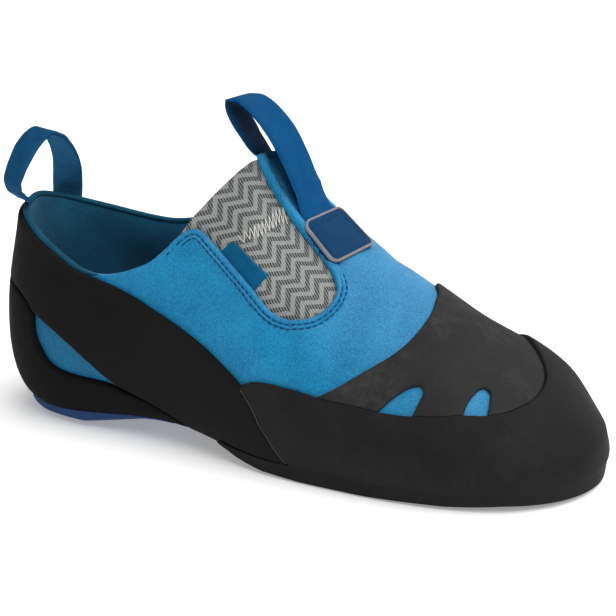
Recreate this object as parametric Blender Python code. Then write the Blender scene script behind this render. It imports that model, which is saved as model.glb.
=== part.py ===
"""Climbing shoe for the right foot: a slip-on with a stretch gore, rubber rands and two pull loops.

The toe points along +X, the big toe side is +Y and the floor is Z = 0. Sizes are in millimetres and
become metres as each mesh is made. One function gives every point of the lasted shape:
a station says how far round the shoe (0 heel back, 13 toe tip on the little toe side, then back to 26 at
the heel along the big toe side), and a share says how far up (-1 middle of the bottom, 0 feather line,
1 collar edge or crest). Each glued or sewn piece is an outline of stations and shares, given a lift off
that shape for its inner and its outer face.
"""
from collections import namedtuple
import math

import bpy
import numpy as np
from mathutils import Vector
from mathutils.geometry import delaunay_2d_cdt

for old in list(bpy.data.objects):
    bpy.data.objects.remove(old, do_unlink=True)

MM = 0.001
ORIGIN_X = 132.35     # the heel end of the shoe sits this far behind the origin
ORIGIN_Y = -1.3       # middle of the breadth, measured from the line through the heel
WALL = 1.6            # thickness of the upper
GAP = 0.45            # between a piece and the one it is glued to
CUP_GAP = 0.65        # the heel cup crosses the tightest curves
GORE = 1.0            # thickness of the knitted elastic
RUBBER = 2.0          # rands, sling and heel cup
PATCH = 1.3           # rubber over the toes
INSOLE = 1.6          # how far the insole rises above the feather line
EDGE_SHARE = 0.06     # the soles turn up the wall as far as this
WEBBING = 1.6         # thickness of both pull loops
BADGE = (21.0, 25.5, 2.0, 3.6)   # length up the instep, breadth, thickness, corner radius
BADGE_SHIFT = (1.0, -2.0)        # across and up the strap from its second row

# Sections of the last. The feather line is where upper meets sole; the wall stands out past it to its
# widest line, then climbs to the rim. full_side, full_over and lean shape that climb.
Section = namedtuple("Section", "out_x out_y out_z in_x in_y in_z stand_out wide_up "
                     "rim_x rim_half rim_out_z rim_in_z full_side full_over lean")
SECTIONS = [
    Section(12, 0, 7, 12, 0, 7, 9, 26, 9, 0, 84, 84, 0.45, 0.35, 0.35),             # heel back
    Section(17, -15, 7, 17, 15, 7, 9, 26, 13, 14, 83, 80, 0.45, 0.35, 0.35),        # heel corner
    Section(36, -25, 7, 36, 25, 7, 9, 26, 29, 25, 75, 74, 0.45, 0.35, 0.35),        # heel side
    Section(66, -28, 10, 64, 25, 11, 8, 24, 54, 30, 66, 70, 0.45, 0.35, 0.35),       # rear waist
    Section(94, -31, 11, 92, 21, 14, 7, 21, 77, 31, 73, 75, 0.45, 0.40, 0.35),       # waist
    Section(118, -36, 7.5, 116, 22, 12, 6, 19, 97, 25, 92, 92, 0.42, 0.45, 0.30),     # throat side
    Section(137, -41, 6, 135, 29, 9, 5, 16, 118, 11, 115, 115, 0.40, 0.50, 0.25),   # throat corner
    Section(154, -44, 6, 152, 35, 7, 4, 14, 123, 0, 116, 116, 0.36, 0.45, 0.10),    # throat
    Section(175, -46, 6, 172, 41, 6, 4, 12, 149, 0, 87, 87, 0.30, 0.45, 0),         # instep
    Section(198, -47, 6, 194, 44, 6, 4, 11, 178, 0, 70, 70, 0.28, 0.50, 0),         # ball
    Section(221, -45, 6, 215, 43, 6, 4, 10, 203, 0, 57, 57, 0.32, 0.55, 0),         # little toe
    Section(243, -38, 6, 233, 35, 6, 3, 10, 220, 0, 47, 47, 0.31, 0.55, 0),         # toe side
    Section(257, -21, 6.5, 246, 22, 6.5, 3, 10, 223, 0, 45, 45, 0.20, 0.52, 0),     # toe corner
    Section(257, 1, 7, 257, 1, 7, 3, 10, 223, 0, 45, 45, 0.16, 0.50, 0),            # toe tip
]
LAST = len(SECTIONS) - 1
ROUND = 2 * LAST
THROAT = 7            # station where the two sides meet and the crest begins
LOW = 0.2             # share at the widest line

# Soft swells and hollows of the last: where each lies, how far it reaches and how far it stands out.
Swell = namedtuple("Swell", "station share long high out")
SWELLS = [
    Swell(13.5, 0.07, 1.1, 0.09, 1.8),      # rim of the toe
    Swell(14.0, 0.35, 1.0, 0.24, -1.9),     # front of the big toe
    Swell(15.3, 0.52, 0.45, 0.20, 1.0),     # over the big toe
    Swell(16.35, 0.66, 0.55, 0.25, -2.5),   # beside the big toe joint
    Swell(18.1, 0.80, 0.70, 0.20, 2.5),     # inner instep
]
SWELL_FOOT = 0.03     # share over which the swells fade in from the feather line
SWELL_CREST = 8       # power of the share with which they fade out at the crest

# Underside of the soles: distance from the heel, height of the tread above the floor.
GROUND = [(0, 1.5), (12, 0), (44, 0), (72, 6), (100, 8), (112, 4), (122, 0.5), (128, 0), (226, 0), (262, 0.4)]

STATION_STEP = 1 / 3
SHARES = (-1, -0.75, -0.5, -0.25, 0, 0.06, 0.12, 0.2, 0.29, 0.38, 0.47, 0.56, 0.65, 0.74, 0.83, 0.92, 1)
PLAIN = (24.0, 80.0)  # millimetres to a station and to a whole share, for laying out the triangles


def loop_controls(values):
    """Control points of the closed cubic that passes through the given rows."""
    count = len(values)
    weights = np.zeros((count, count))
    for i in range(count):
        weights[i, i] = 4 / 6
        weights[i, (i + 1) % count] = 1 / 6
        weights[i, i - 1] = 1 / 6
    return np.linalg.solve(weights, values)


def on_loop(controls, t):
    count = len(controls)
    i = np.floor(t).astype(int)
    f = (t - i)[:, None]
    basis = ((1 - f) ** 3, 3 * f ** 3 - 6 * f ** 2 + 4, 1 + 3 * f + 3 * f ** 2 - 3 * f ** 3, f ** 3)
    return sum(b * controls[(i + k - 1) % count] for k, b in enumerate(basis)) / 6


def loop_slope(controls, t):
    count = len(controls)
    i = np.floor(t).astype(int)
    f = (t - i)[:, None]
    basis = (-(1 - f) ** 2, 3 * f ** 2 - 4 * f, 1 + 2 * f - 3 * f ** 2, f ** 2)
    return sum(b * controls[(i + k - 1) % count] for k, b in enumerate(basis)) / 2


def steady(xs, ys, t):
    """Cubic through the rows that never swings past them."""
    xs = np.asarray(xs, float)
    ys = np.asarray(ys, float).reshape(len(xs), -1)
    step = np.diff(xs)[:, None]
    rise = np.diff(ys, axis=0) / step
    slope = np.zeros_like(ys)
    slope[0] = rise[0]
    slope[-1] = rise[-1]
    same = rise[:-1] * rise[1:] > 0
    before = np.where(same, rise[:-1], 1)
    after = np.where(same, rise[1:], 1)
    w1 = 2 * step[1:] + step[:-1]
    w2 = step[1:] + 2 * step[:-1]
    slope[1:-1] = np.where(same, (w1 + w2) / (w1 / before + w2 / after), 0)
    t = np.clip(np.asarray(t, float), xs[0], xs[-1])
    i = np.clip(np.searchsorted(xs, t, side="right") - 1, 0, len(xs) - 2)
    f = ((t - xs[i]) / step[i, 0])[:, None]
    start = (1 + 2 * f) * (1 - f) ** 2 * ys[i] + f * (1 - f) ** 2 * step[i] * slope[i]
    return start + f ** 2 * (3 - 2 * f) * ys[i + 1] + f ** 2 * (f - 1) * step[i] * slope[i + 1]


OUTER_ROWS = [(s.out_x, s.out_y, s.out_z, s.stand_out) for s in SECTIONS]
INNER_ROWS = [(s.in_x, s.in_y, s.in_z, s.stand_out) for s in SECTIONS]
FEATHER = loop_controls(np.array(OUTER_ROWS + INNER_ROWS[-2:0:-1], float))
RIM = np.array(SECTIONS, float)[:, Section._fields.index("wide_up"):]
ACROSS_HEEL = np.where(np.arange(RIM.shape[1]) == 2, -1, 1)    # only the half breadth changes sign there
EVEN_RIM = np.concatenate([RIM[1:2] * ACROSS_HEEL, RIM])       # runs on past the heel, to round it evenly
CREST = steady(range(LAST + 1), RIM, np.linspace(THROAT, LAST - 1, 121))[:, 1:5]


def bezier(a, b, c, d, f):
    return a * (1 - f) ** 3 + 3 * b * f * (1 - f) ** 2 + 3 * c * f ** 2 * (1 - f) + d * f ** 3


def swelled(t, share):
    """How far the swells stand out, nothing at the crest and at the feather line."""
    total = np.zeros(len(t))
    for swell in SWELLS:
        off = ((t - swell.station) / swell.long) ** 2 + ((share - swell.share) / swell.high) ** 2
        total += swell.out * np.exp(-off)
    return total * (1 - share ** SWELL_CREST) * np.minimum(share / SWELL_FOOT, 1)


def surface(station, share):
    """Points of the lasted shape."""
    station, share = np.broadcast_arrays(np.asarray(station, float), np.asarray(share, float))
    t = station % ROUND
    inner_side = t > LAST
    folded = np.where(inner_side, ROUND - t, t)
    loop = on_loop(FEATHER, t)
    other = on_loop(FEATHER, (ROUND - t) % ROUND)
    slope = loop_slope(FEATHER, t)
    out = np.stack([slope[:, 1], -slope[:, 0]], 1)
    out = out / np.linalg.norm(out, axis=1)[:, None]
    foot = loop[:, :3]
    middle = (foot + other[:, :3]) / 2
    wide_up, rim_x, half, out_z, in_z, side, over, lean = steady(range(-1, LAST + 1), EVEN_RIM, folded).T
    wide = foot.copy()
    wide[:, :2] += out * loop[:, 3:4]
    wide[:, 2] += wide_up
    top = np.stack([rim_x, np.where(inner_side, half, -half), np.where(inner_side, in_z, out_z)], 1)
    low_1 = foot.copy()
    low_1[:, :2] += 0.55 * (wide - foot)[:, :2]
    low_2 = wide.copy()
    low_2[:, 2] -= 0.55 * (wide - foot)[:, 2]
    high_1 = wide.copy()
    high_1[:, 2] += side * (top - wide)[:, 2]
    high_2 = top.copy()
    high_2[:, :2] += over[:, None] * (wide - top)[:, :2]
    high_2[:, 2] -= lean * (top - wide)[:, 2]
    crest_rise = np.interp(high_2[:, 0], CREST[:, 0], CREST[:, 2]) - top[:, 2]
    beyond = np.maximum(high_2[:, 0] - CREST[-1, 0], 0)
    on_crest = np.clip(folded - THROAT + 1, 0, 1)
    high_2[:, 2] += on_crest * (crest_rise - 0.5 * beyond)
    low_f = np.clip(share / LOW, 0, 1)[:, None]
    high_f = np.clip((share - LOW) / (1 - LOW), 0, 1)[:, None]
    wall = np.where(share[:, None] < LOW, bezier(foot, low_1, low_2, wide, low_f),
                    bezier(wide, high_1, high_2, top, high_f))
    lean_up = 0.5 * np.pi * high_f
    away = np.concatenate([out * np.cos(lean_up), np.sin(lean_up)], 1)
    wall = wall + away * swelled(t, np.clip(share, 0, 1))[:, None]
    return np.where(share[:, None] < 0, foot + (middle - foot) * -share[:, None], wall)


def normals(station, share):
    """Unit outward normals of the lasted shape."""
    station = np.asarray(station, float)
    share = np.minimum(np.asarray(share, float), 0.985)
    along = surface(station + 0.02, share) - surface(station - 0.02, share)
    up = surface(station, share + 0.005) - surface(station, np.maximum(share - 0.005, -1))
    n = np.cross(along, up)
    return n / np.maximum(np.linalg.norm(n, axis=1), 1e-9)[:, None]


def within(points, outline):
    """Which points lie inside a closed outline."""
    inside = np.zeros(len(points), bool)
    x, y = points.T
    for (ax, ay), (bx, by) in zip(outline, np.roll(outline, -1, axis=0)):
        crosses = (ay > y) != (by > y)
        level = by - ay if by != ay else 1
        inside ^= crosses & (x < ax + (y - ay) * (bx - ax) / level)
    return inside


def spaced(corners, step=5.0):
    """An outline's corners with points added between them; level and upright runs use the common grid."""
    grid = np.arange(-ROUND * 3, ROUND * 3 + 1) * STATION_STEP
    points = []
    for (t0, v0), (t1, v1) in zip(corners, corners[1:] + corners[:1]):
        if v0 == v1:
            cuts = grid[(grid > min(t0, t1) + 0.08) & (grid < max(t0, t1) - 0.08)]
            if v0 == 1:
                cuts = cuts[np.abs(cuts - LAST) > 0.99]
            run = [(t, v0) for t in sorted(cuts, reverse=t0 > t1)]
        elif t0 == t1:
            cuts = [v for v in SHARES if min(v0, v1) + 0.02 < v < max(v0, v1) - 0.02]
            run = [(t0, v) for v in sorted(cuts, reverse=v0 > v1)]
        else:
            count = math.ceil(math.hypot((t1 - t0) * PLAIN[0], (v1 - v0) * PLAIN[1]) / step)
            run = [(t0 + (t1 - t0) * k / count, v0 + (v1 - v0) * k / count) for k in range(1, count)]
        points.append((t0, v0))
        points += run
    return np.array(points, float)


def layout(outline, holes=()):
    """Stations, shares and triangles that fill an outline."""
    rings = [spaced(list(outline))] + [spaced(list(h)) for h in holes]
    flat = [r * PLAIN for r in rings]
    edges = []
    start = 0
    for ring in rings:
        count = len(ring)
        edges += [(start + i, start + (i + 1) % count) for i in range(count)]
        start += count
    rim = np.concatenate(flat)
    low, high = rings[0].min(axis=0), rings[0].max(axis=0)
    stations = np.arange(math.ceil(low[0] / STATION_STEP), math.floor(high[0] / STATION_STEP) + 1)
    grid = np.array([(s * STATION_STEP, v) for s in stations for v in SHARES if low[1] < v < high[1]])
    grid = grid[within(grid * PLAIN, flat[0])]
    for hole in flat[1:]:
        grid = grid[~within(grid * PLAIN, hole)]
    near_pole = (np.abs(grid[:, 0] % ROUND - LAST) < 2.1) & (grid[:, 1] > 0.8)
    grid = grid[~near_pole | (np.round(grid[:, 0] / STATION_STEP) % 2 == 1)]
    near_pole = (np.abs(grid[:, 0] % ROUND - LAST) < 1.5) & (grid[:, 1] > 0.9)
    grid = grid[~near_pole]
    gap = np.linalg.norm((grid * PLAIN)[:, None, :] - rim[None], axis=2).min(axis=1)
    grid = grid[gap > np.where(grid[:, 1] < LOW, 1.0, 2.6)]
    places = {(round(t / STATION_STEP), v): start + i for i, (t, v) in enumerate(grid)}
    for (s, v), i in places.items():
        if 0 <= v <= LOW and (s + 1, v) in places:
            edges.append((i, places[s + 1, v]))
    points = [Vector(p) for p in np.concatenate([rim, grid * PLAIN])]
    found = delaunay_2d_cdt(points, edges, [], 0, 1e-5)
    laid = np.array([tuple(p) for p in found[0]])
    faces = np.array([tuple(f) for f in found[2]], int)
    centres = laid[faces].mean(axis=1)
    keep = within(centres, flat[0])
    for hole in flat[1:]:
        keep &= ~within(centres, hole)
    return laid / PLAIN, faces[keep]


def joined(points, normal, faces):
    """Points that fall together made one, as along the crest, with their normals shared."""
    _, index = np.unique(np.round(points + 0.00013, 2), axis=0, return_inverse=True)
    index = index.reshape(-1)
    count = index.max() + 1
    place = np.zeros((count, 3))
    turn = np.zeros((count, 3))
    times = np.bincount(index, minlength=count)[:, None]
    np.add.at(place, index, points)
    np.add.at(turn, index, normal)
    turn = turn / np.maximum(np.linalg.norm(turn, axis=1), 1e-9)[:, None]
    faces = index[faces]
    whole = (faces[:, 0] != faces[:, 1]) & (faces[:, 1] != faces[:, 2]) & (faces[:, 2] != faces[:, 0])
    return place / times, turn, faces[whole], index


def shell(inner, outer, faces):
    """Two skins with the same triangles, closed round their edges."""
    count = len(inner)
    ways = {(int(a), int(b)) for f in faces for a, b in zip(f, np.roll(f, -1))}
    rim = [(a, b) for a, b in ways if (b, a) not in ways]
    skin = [tuple(f) for f in faces] + [(c + count, b + count, a + count) for a, b, c in faces]
    for a, b in sorted(rim):
        skin.append((b, a, a + count))
        skin.append((b, a + count, b + count))
    return np.concatenate([outer, inner]), skin


def piece(name, points, faces, colour, rough):
    """One named object with its own material."""
    placed = (np.asarray(points, float) - (ORIGIN_X, ORIGIN_Y, 0)) * MM
    mesh = bpy.data.meshes.new(name)
    mesh.from_pydata([tuple(p) for p in placed], [], [tuple(int(i) for i in f) for f in faces])
    used = bpy.data.objects.new(name, mesh)
    bpy.context.scene.collection.objects.link(used)
    look = bpy.data.materials.new(name)
    look.use_nodes = True
    shader = look.node_tree.nodes["Principled BSDF"]
    shader.inputs["Base Color"].default_value = (*colour, 1)
    shader.inputs["Roughness"].default_value = rough
    mesh.materials.append(look)
    return used


def panel(name, outline, inner, outer, colour, rough, holes=()):
    """A piece that follows the last between two lifts."""
    laid, faces = layout(outline, holes)
    base = surface(laid[:, 0], laid[:, 1])
    base, turn, faces, _ = joined(base, normals(laid[:, 0], laid[:, 1]), faces)
    points, skin = shell(base + inner * turn, base + outer * turn, faces)
    return piece(name, points, skin, colour, rough)


def mirrored(rows):
    """The same edge on the big toe side, in walking order from toe to heel."""
    return [(ROUND - t, v) for t, v in reversed(rows)]


BLUE = (0.020, 0.190, 0.380)
NAVY = (0.017, 0.023, 0.044)
BLACK = (0.014, 0.014, 0.014)
GREY = (0.220, 0.225, 0.215)
STRAP = (0.008, 0.080, 0.220)

# Opening for the gore: station, share, from the throat corner round to the collar.
GORE_HOLE = [(6.12, 1), (6.42, 0.925), (6.82, 0.857), (7.21, 0.828), (7.44, 0.821), (7.64, 0.815),
             (7.80, 0.805), (7.91, 0.785), (7.96, 0.755), (7.92, 0.715), (7.79, 0.662), (7.58, 0.605),
             (7.26, 0.552), (6.85, 0.523), (6.48, 0.527), (6.15, 0.556), (5.84, 0.600), (5.57, 0.674),
             (5.34, 0.779), (5.18, 0.880), (5.12, 0.922), (5.04, 0.957), (4.93, 0.980), (4.78, 0.994),
             (4.62, 1)]
# Edge of the knitted gore, sewn under the upper.
GORE_EDGE = [(6.18, 1), (6.48, 0.95), (7.03, 0.86), (7.45, 0.86), (7.85, 0.84), (8.1, 0.79),
             (8.15, 0.70), (7.95, 0.61), (7.5, 0.50), (6.95, 0.46), (6.4, 0.48), (5.9, 0.52),
             (5.5, 0.59), (5.2, 0.70), (4.95, 0.83), (4.75, 0.91), (4.55, 0.965), (4.45, 1)]
# Top edge of the toe rand from the sling round the toe to the sling again.
RAND_TOP = [(5.55, 0.293), (5.89, 0.312), (6.33, 0.325), (6.84, 0.332), (7.24, 0.343), (7.56, 0.361),
            (7.96, 0.386), (8.40, 0.407), (8.74, 0.422), (9.29, 0.454), (9.81, 0.497), (10.18, 0.540),
            (10.58, 0.583), (10.88, 0.625), (11.31, 0.687), (11.77, 0.745), (12.37, 0.786),
            (13.22, 0.806), (14.09, 0.812), (14.8, 0.800), (15.3, 0.765), (15.65, 0.715), (16, 0.645),
            (16.4, 0.565), (16.9, 0.490), (17.4, 0.440), (18, 0.405), (18.5, 0.380), (19, 0.358),
            (19.6, 0.335), (20.1, 0.315), (20.45, 0.293)]
# Where the sling laps the toe rand, from the top down to the feather line.
SEAM = [(5.55, 0.293), (5.75, 0.263), (6.01, 0.218), (6.27, 0.172), (6.45, 0.130), (6.62, 0.085),
        (6.75, 0.03), (6.8, 0)]
SEAM_GAP = 0.05       # stations between the rand and the sling
# Rear edge of the toe rubber from the rand up to the crest, and on down the big toe side.
PATCH_REAR = [(7.56, 0.365), (8.03, 0.449), (8.41, 0.527), (8.67, 0.587), (8.96, 0.664), (9.18, 0.744),
              (9.34, 0.833), (9.44, 0.927), (9.46, 1)]
PATCH_REAR_IN = [(16.54, 1), (16.57, 0.975), (16.65, 0.940), (16.76, 0.905), (16.90, 0.867), (17.08, 0.81),
                 (17.32, 0.71), (17.6, 0.61), (17.9, 0.53), (18.2, 0.45), (18.45, 0.383)]
PATCH_GAP = 0.007     # share between the toe rubber and the rand
# Two windows in the toe rubber, and the stations where they meet the rand.
WINDOW_REAR = [(8.86, 0.465), (9.04, 0.516), (9.21, 0.557), (9.36, 0.584), (9.45, 0.590), (9.48, 0.574),
               (9.44, 0.538), (9.38, 0.498)]
WINDOW_FRONT = [(10.22, 0.603), (10.31, 0.661), (10.40, 0.703), (10.50, 0.725), (10.58, 0.715),
                (10.59, 0.667)]
WINDOW_FEET = (8.71, 9.33, 10.17, 10.56)
# Front edge of the sling, from the collar down to the rand.
SLING_FRONT = [(3.02, 0.968), (3.30, 0.905), (3.65, 0.785), (3.90, 0.680), (4.16, 0.589), (4.46, 0.490),
               (4.82, 0.406), (5.17, 0.345), (5.55, 0.293)]
SLING_RIM = SLING_FRONT[0][1]
SLING_MIDDLE = [(6.8, -1), (4.4, -1)]     # its run along the middle of the waist
# Join of sling and heel cup, from the heel back forward; the blue window opens between its two edges.
CUP_TOP = [(0, 0.50), (0.8, 0.495), (1.23, 0.487), (1.46, 0.475), (1.62, 0.447), (1.72, 0.400),
           (1.74, 0.315), (1.78, 0.243), (1.88, 0.193), (2.01, 0.171), (2.18, 0.159), (2.39, 0.152),
           (2.64, 0.147), (2.86, 0.142), (3.1, 0.127), (3.6, 0.098), (4, 0.052), (4.2, 0)]
SLING_FOOT = [(0, 0.506), (0.8, 0.501), (1.23, 0.493), (1.46, 0.484), (1.62, 0.457), (1.74, 0.412),
              (1.94, 0.370), (2.12, 0.327), (2.28, 0.279), (2.44, 0.227), (2.51, 0.2), (2.66, 0.183),
              (2.80, 0.165), (3.0, 0.143), (3.3, 0.122), (3.7, 0.092), (4.04, 0.055), (4.25, 0)]


def build_upper():
    outline = [(0, 0), (ROUND, 0), (ROUND, 1), (ROUND - THROAT, 1), (ROUND - 12, 1), (LAST, 1), (12, 1),
               (THROAT, 1)] + GORE_HOLE + [(0, 1)]
    panel("upper", outline, -WALL, 0, BLUE, 0.8)


def build_gore():
    under = -WALL - GAP
    panel("stretch_gore", GORE_EDGE, under - GORE, under, GREY, 0.9)


def build_rand():
    ahead = [(t + SEAM_GAP, v) for t, v in SEAM]
    outline = ahead[::-1] + RAND_TOP[1:-1] + mirrored(ahead[::-1])
    panel("toe_rand", outline, GAP, GAP + RUBBER, BLACK, 0.55)


def over_rand(start, stop):
    """Lower edge of the toe rubber between two stations."""
    stations = [start] + [t for t, _ in RAND_TOP if start < t < stop] + [stop]
    shares = np.interp(stations, *zip(*RAND_TOP)) + PATCH_GAP
    return list(zip(stations, shares))


def build_patch():
    a, b, c, d = WINDOW_FEET
    start, stop = PATCH_REAR[0][0], PATCH_REAR_IN[-1][0]
    low = over_rand(start, a) + WINDOW_REAR + over_rand(b, c) + WINDOW_FRONT + over_rand(d, stop)
    crest = [(ROUND - 12, 1), (LAST, 1), (12, 1)]
    outline = low + PATCH_REAR_IN[-2::-1] + crest + PATCH_REAR[:0:-1]
    panel("toe_patch", outline, GAP, GAP + PATCH, BLACK, 0.5)


def build_sling():
    half = SLING_FRONT + SEAM[1:] + SLING_MIDDLE + SLING_FOOT[::-1]
    other = [(-t, v) for t, v in reversed(half[:-1])]
    rim = [(t, SLING_RIM) for t in (-2, -1, 0, 1, 2)]
    panel("heel_sling", half + other + rim, GAP, GAP + RUBBER, BLACK, 0.5)


def build_cup():
    half = CUP_TOP[::-1]
    other = [(-t, v) for t, v in reversed(half[:-1])]
    panel("heel_cup", half + other, CUP_GAP, GAP + RUBBER, BLACK, 0.5)


def ladder(stations, top_of, bottom_of, shares):
    """A plate laid as rungs across the bottom, from one edge to the other."""
    across = [(0, v) for v in reversed(shares)] + [(1, v) for v in shares[1:]]
    tops = []
    bottoms = []
    for side, share in across:
        turned = ROUND - stations if side else stations
        tops.append(top_of(turned, np.full(len(stations), share)))
        bottoms.append(bottom_of(tops[-1], stations, share))
    return np.array(tops), np.array(bottoms)


def plate(name, tops, bottoms, colour, rough):
    """Closed solid between two grids of points."""
    wide, long = tops.shape[:2]
    index = np.arange(wide * long).reshape(wide, long)
    a = index[:-1, :-1].ravel()
    b = index[:-1, 1:].ravel()
    c = index[1:, 1:].ravel()
    d = index[1:, :-1].ravel()
    faces = np.concatenate([np.stack([a, b, c], 1), np.stack([a, c, d], 1)])
    top = tops.reshape(-1, 3)
    _, keep = np.unique(np.round(top + 0.00013, 2), axis=0, return_inverse=True)
    keep = keep.reshape(-1)
    first = np.zeros(keep.max() + 1, int)
    first[keep[::-1]] = np.arange(len(keep))[::-1]
    faces = keep[faces]
    whole = (faces[:, 0] != faces[:, 1]) & (faces[:, 1] != faces[:, 2]) & (faces[:, 2] != faces[:, 0])
    points, skin = shell(bottoms.reshape(-1, 3)[first], top[first], faces[whole])
    return piece(name, points, skin, colour, rough)


def lifted(station, share, lift):
    return surface(station, share) + lift * normals(station, share)


def ground(x):
    return np.interp(x, [g[0] for g in GROUND], [g[1] for g in GROUND])


def build_soles():
    lift = GAP + RUBBER + GAP
    shares = [-1, -0.6, -0.25, 0, 0.03, EDGE_SHARE]
    rise = {0: 0.0, 0.03: 0.3, EDGE_SHARE: 0.9}
    round_off = {-0.25: 0.0, 0: 0.8, 0.03: 2.6}

    def top_of(station, share):
        if share[0] > 0:
            return lifted(station, share, lift)
        return surface(station, share) - (0, 0, lift)

    def forefoot(top, stations, share):
        low = top.copy()
        low[:, 2] = ground(top[:, 0]) + rise.get(share, 0)
        return low

    def heel(top, stations, share):
        low = top.copy()
        low[:, 2] = ground(top[:, 0]) + round_off.get(share, 0)
        return low

    front = np.concatenate([[4.85, 5.05, 5.25, 5.45], np.arange(17, 37) / 3, [12.5, 12.7, 12.85, 13]])
    tops, bottoms = ladder(front, top_of, forefoot, shares)
    plate("outsole", tops, bottoms, BLACK, 0.5)
    rear = np.concatenate([[0, 0.15, 0.35, 0.65], np.arange(1, 3.6, 0.3), [3.8]])
    tops, bottoms = ladder(rear, top_of, heel, shares[:-1])
    plate("heel_sole", tops, bottoms, NAVY, 0.6)


def build_insole():
    shares = [-1, -0.5, -0.14]
    drop = [(0, RUBBER), (3.9, RUBBER), (4.05, -0.1), (6.95, -0.1), (7.1, RUBBER), (LAST, RUBBER)]
    extra = [3.9, 4.05, 6.95, 7.1]
    stations = np.array(sorted(list(np.arange(0.5, 12.6, 0.5)) + extra))

    def top_of(station, share):
        base = surface(station, share)
        base[:, 2] += INSOLE
        return base

    def bottom_of(top, stations, share):
        low = top.copy()
        low[:, 2] -= INSOLE + np.interp(stations, [d[0] for d in drop], [d[1] for d in drop])
        return low

    tops, bottoms = ladder(stations, top_of, bottom_of, shares)
    plate("insole", tops, bottoms, GREY, 0.9)


def band(name, path, colour, steps=38):
    """Flat webbing swept along a path, its width turned about the upright and tilted out of the level."""
    rows = np.array(path, float)
    length = np.concatenate([[0], np.cumsum(np.linalg.norm(np.diff(rows[:, :3], axis=0), axis=1))])
    fine = np.linspace(0, length[-1], steps)
    slope = np.gradient(rows, length, axis=0)
    i = np.clip(np.searchsorted(length, fine, side="right") - 1, 0, len(rows) - 2)
    h = (length[i + 1] - length[i])[:, None]
    f = (fine - length[i])[:, None] / h
    run = ((1 + 2 * f) * (1 - f) ** 2 * rows[i] + f * (1 - f) ** 2 * h * slope[i]
           + f ** 2 * (3 - 2 * f) * rows[i + 1] + f ** 2 * (f - 1) * h * slope[i + 1])
    line = run[:, :3]
    turn, tilt = np.radians(run[:, 3:5]).T
    ahead = np.gradient(line, axis=0)
    ahead = ahead / np.linalg.norm(ahead, axis=1)[:, None]
    across = np.stack([np.cos(turn) * np.cos(tilt), np.sin(turn) * np.cos(tilt), np.sin(tilt)], 1)
    across = across - (across * ahead).sum(axis=1)[:, None] * ahead
    across = across / np.linalg.norm(across, axis=1)[:, None] * run[:, 5:6] / 2
    face = np.cross(across, ahead)
    face = face / np.linalg.norm(face, axis=1)[:, None] * WEBBING / 2
    points = np.stack([line - across - face, line + across - face,
                       line + across + face, line - across + face], 1).reshape(-1, 3)
    faces = [(0, 1, 2), (0, 2, 3)]
    for k in range(steps - 1):
        for j in range(4):
            a = k * 4 + j
            b = k * 4 + (j + 1) % 4
            faces += [(a, a + 4, b + 4), (a, b + 4, b)]
    e = (steps - 1) * 4
    faces += [(e + 2, e + 1, e), (e + 3, e + 2, e)]
    return piece(name, points, faces, colour, 0.85)


# Centre lines of the webbing, with how the width turns from the long axis and tilts, in degrees, and the width.
Webbing = namedtuple("Webbing", "x y z turn tilt wide")
# The instep loop runs under the badge, up, over and down into the throat.
INSTEP_LOOP = [
    Webbing(157, -5.2, 83.6, 80, 3, 18.5),
    Webbing(149.5, -4.4, 90, 80, 3, 18.5),
    Webbing(142, -3.6, 96.4, 80, 3, 18.5),
    Webbing(136.5, -2.6, 105.3, 88.5, -1, 18.5),
    Webbing(131, -1.7, 116, 88.5, -0.7, 18.5),
    Webbing(125.5, -1.4, 125.4, 88.5, -0.4, 18.5),
    Webbing(121.7, -1, 129.6, 90, -0.8, 18.5),
    Webbing(117.3, -0.5, 133.3, 91.5, -1.8, 18.5),
    Webbing(113.3, -0.4, 135.8, 91.5, -4.5, 18.5),
    Webbing(109.8, -0.3, 136.8, 88.7, -9, 18.5),
    Webbing(106.9, -0.5, 136.6, 87, -8.5, 18.5),
    Webbing(105.4, -1, 135, 94, -3, 18.5),
    Webbing(106.4, -2.3, 131.9, 100, -0.5, 16.8),
    Webbing(109.4, -3.8, 128, 101, 0, 16),
    Webbing(112.3, -4.6, 124.3, 102, 0, 15.5),
    Webbing(115.2, -4.4, 120.6, 101, 0, 15),
    Webbing(115.8, -2.4, 118.2, 98, 0, 11.2),
    Webbing(116, -0.8, 114.6, 95, 0, 9.4),
    Webbing(118.4, -0.2, 107, 92, 0, 10),
    Webbing(122.6, 0, 100.5, 90, 0, 11),
]
# The heel loop is sewn to the collar at both corners of the heel.
HEEL_LOOP = [
    Webbing(15, -12.4, 85, -34, 0, 8),
    Webbing(13.6, -13.1, 86.3, -28, 0, 9.5),
    Webbing(11.5, -14.2, 87.9, -25, 0, 11.5),
    Webbing(9.7, -15.4, 90.1, -27, 0, 12),
    Webbing(9, -15.6, 92.9, -27.5, 0, 12),
    Webbing(9.2, -13.6, 97.2, -24.5, 0, 12),
    Webbing(9.6, -9.1, 102, -20, 0, 12),
    Webbing(9.7, -3.6, 105.8, -14.5, 0, 12),
    Webbing(10.6, 1, 108.3, -12, 1, 12),
    Webbing(12.2, 4.4, 109.4, -13, 1, 12),
    Webbing(14.1, 7.5, 107.6, -13, -1, 12),
    Webbing(15.9, 9.8, 103.3, -6.5, -1, 12),
    Webbing(17, 11.5, 98, 3.5, 0, 12),
    Webbing(17.1, 12.7, 92.9, 15, 0, 12),
    Webbing(15.4, 15.1, 85.8, 26, 0, 12),
    Webbing(12.5, 19.3, 79.5, 36, 0, 12),
    Webbing(11.7, 19.8, 74.5, 38, 0, 12),
]


def build_loops():
    band("instep_loop", INSTEP_LOOP, STRAP)
    band("heel_loop", HEEL_LOOP, STRAP)


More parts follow.
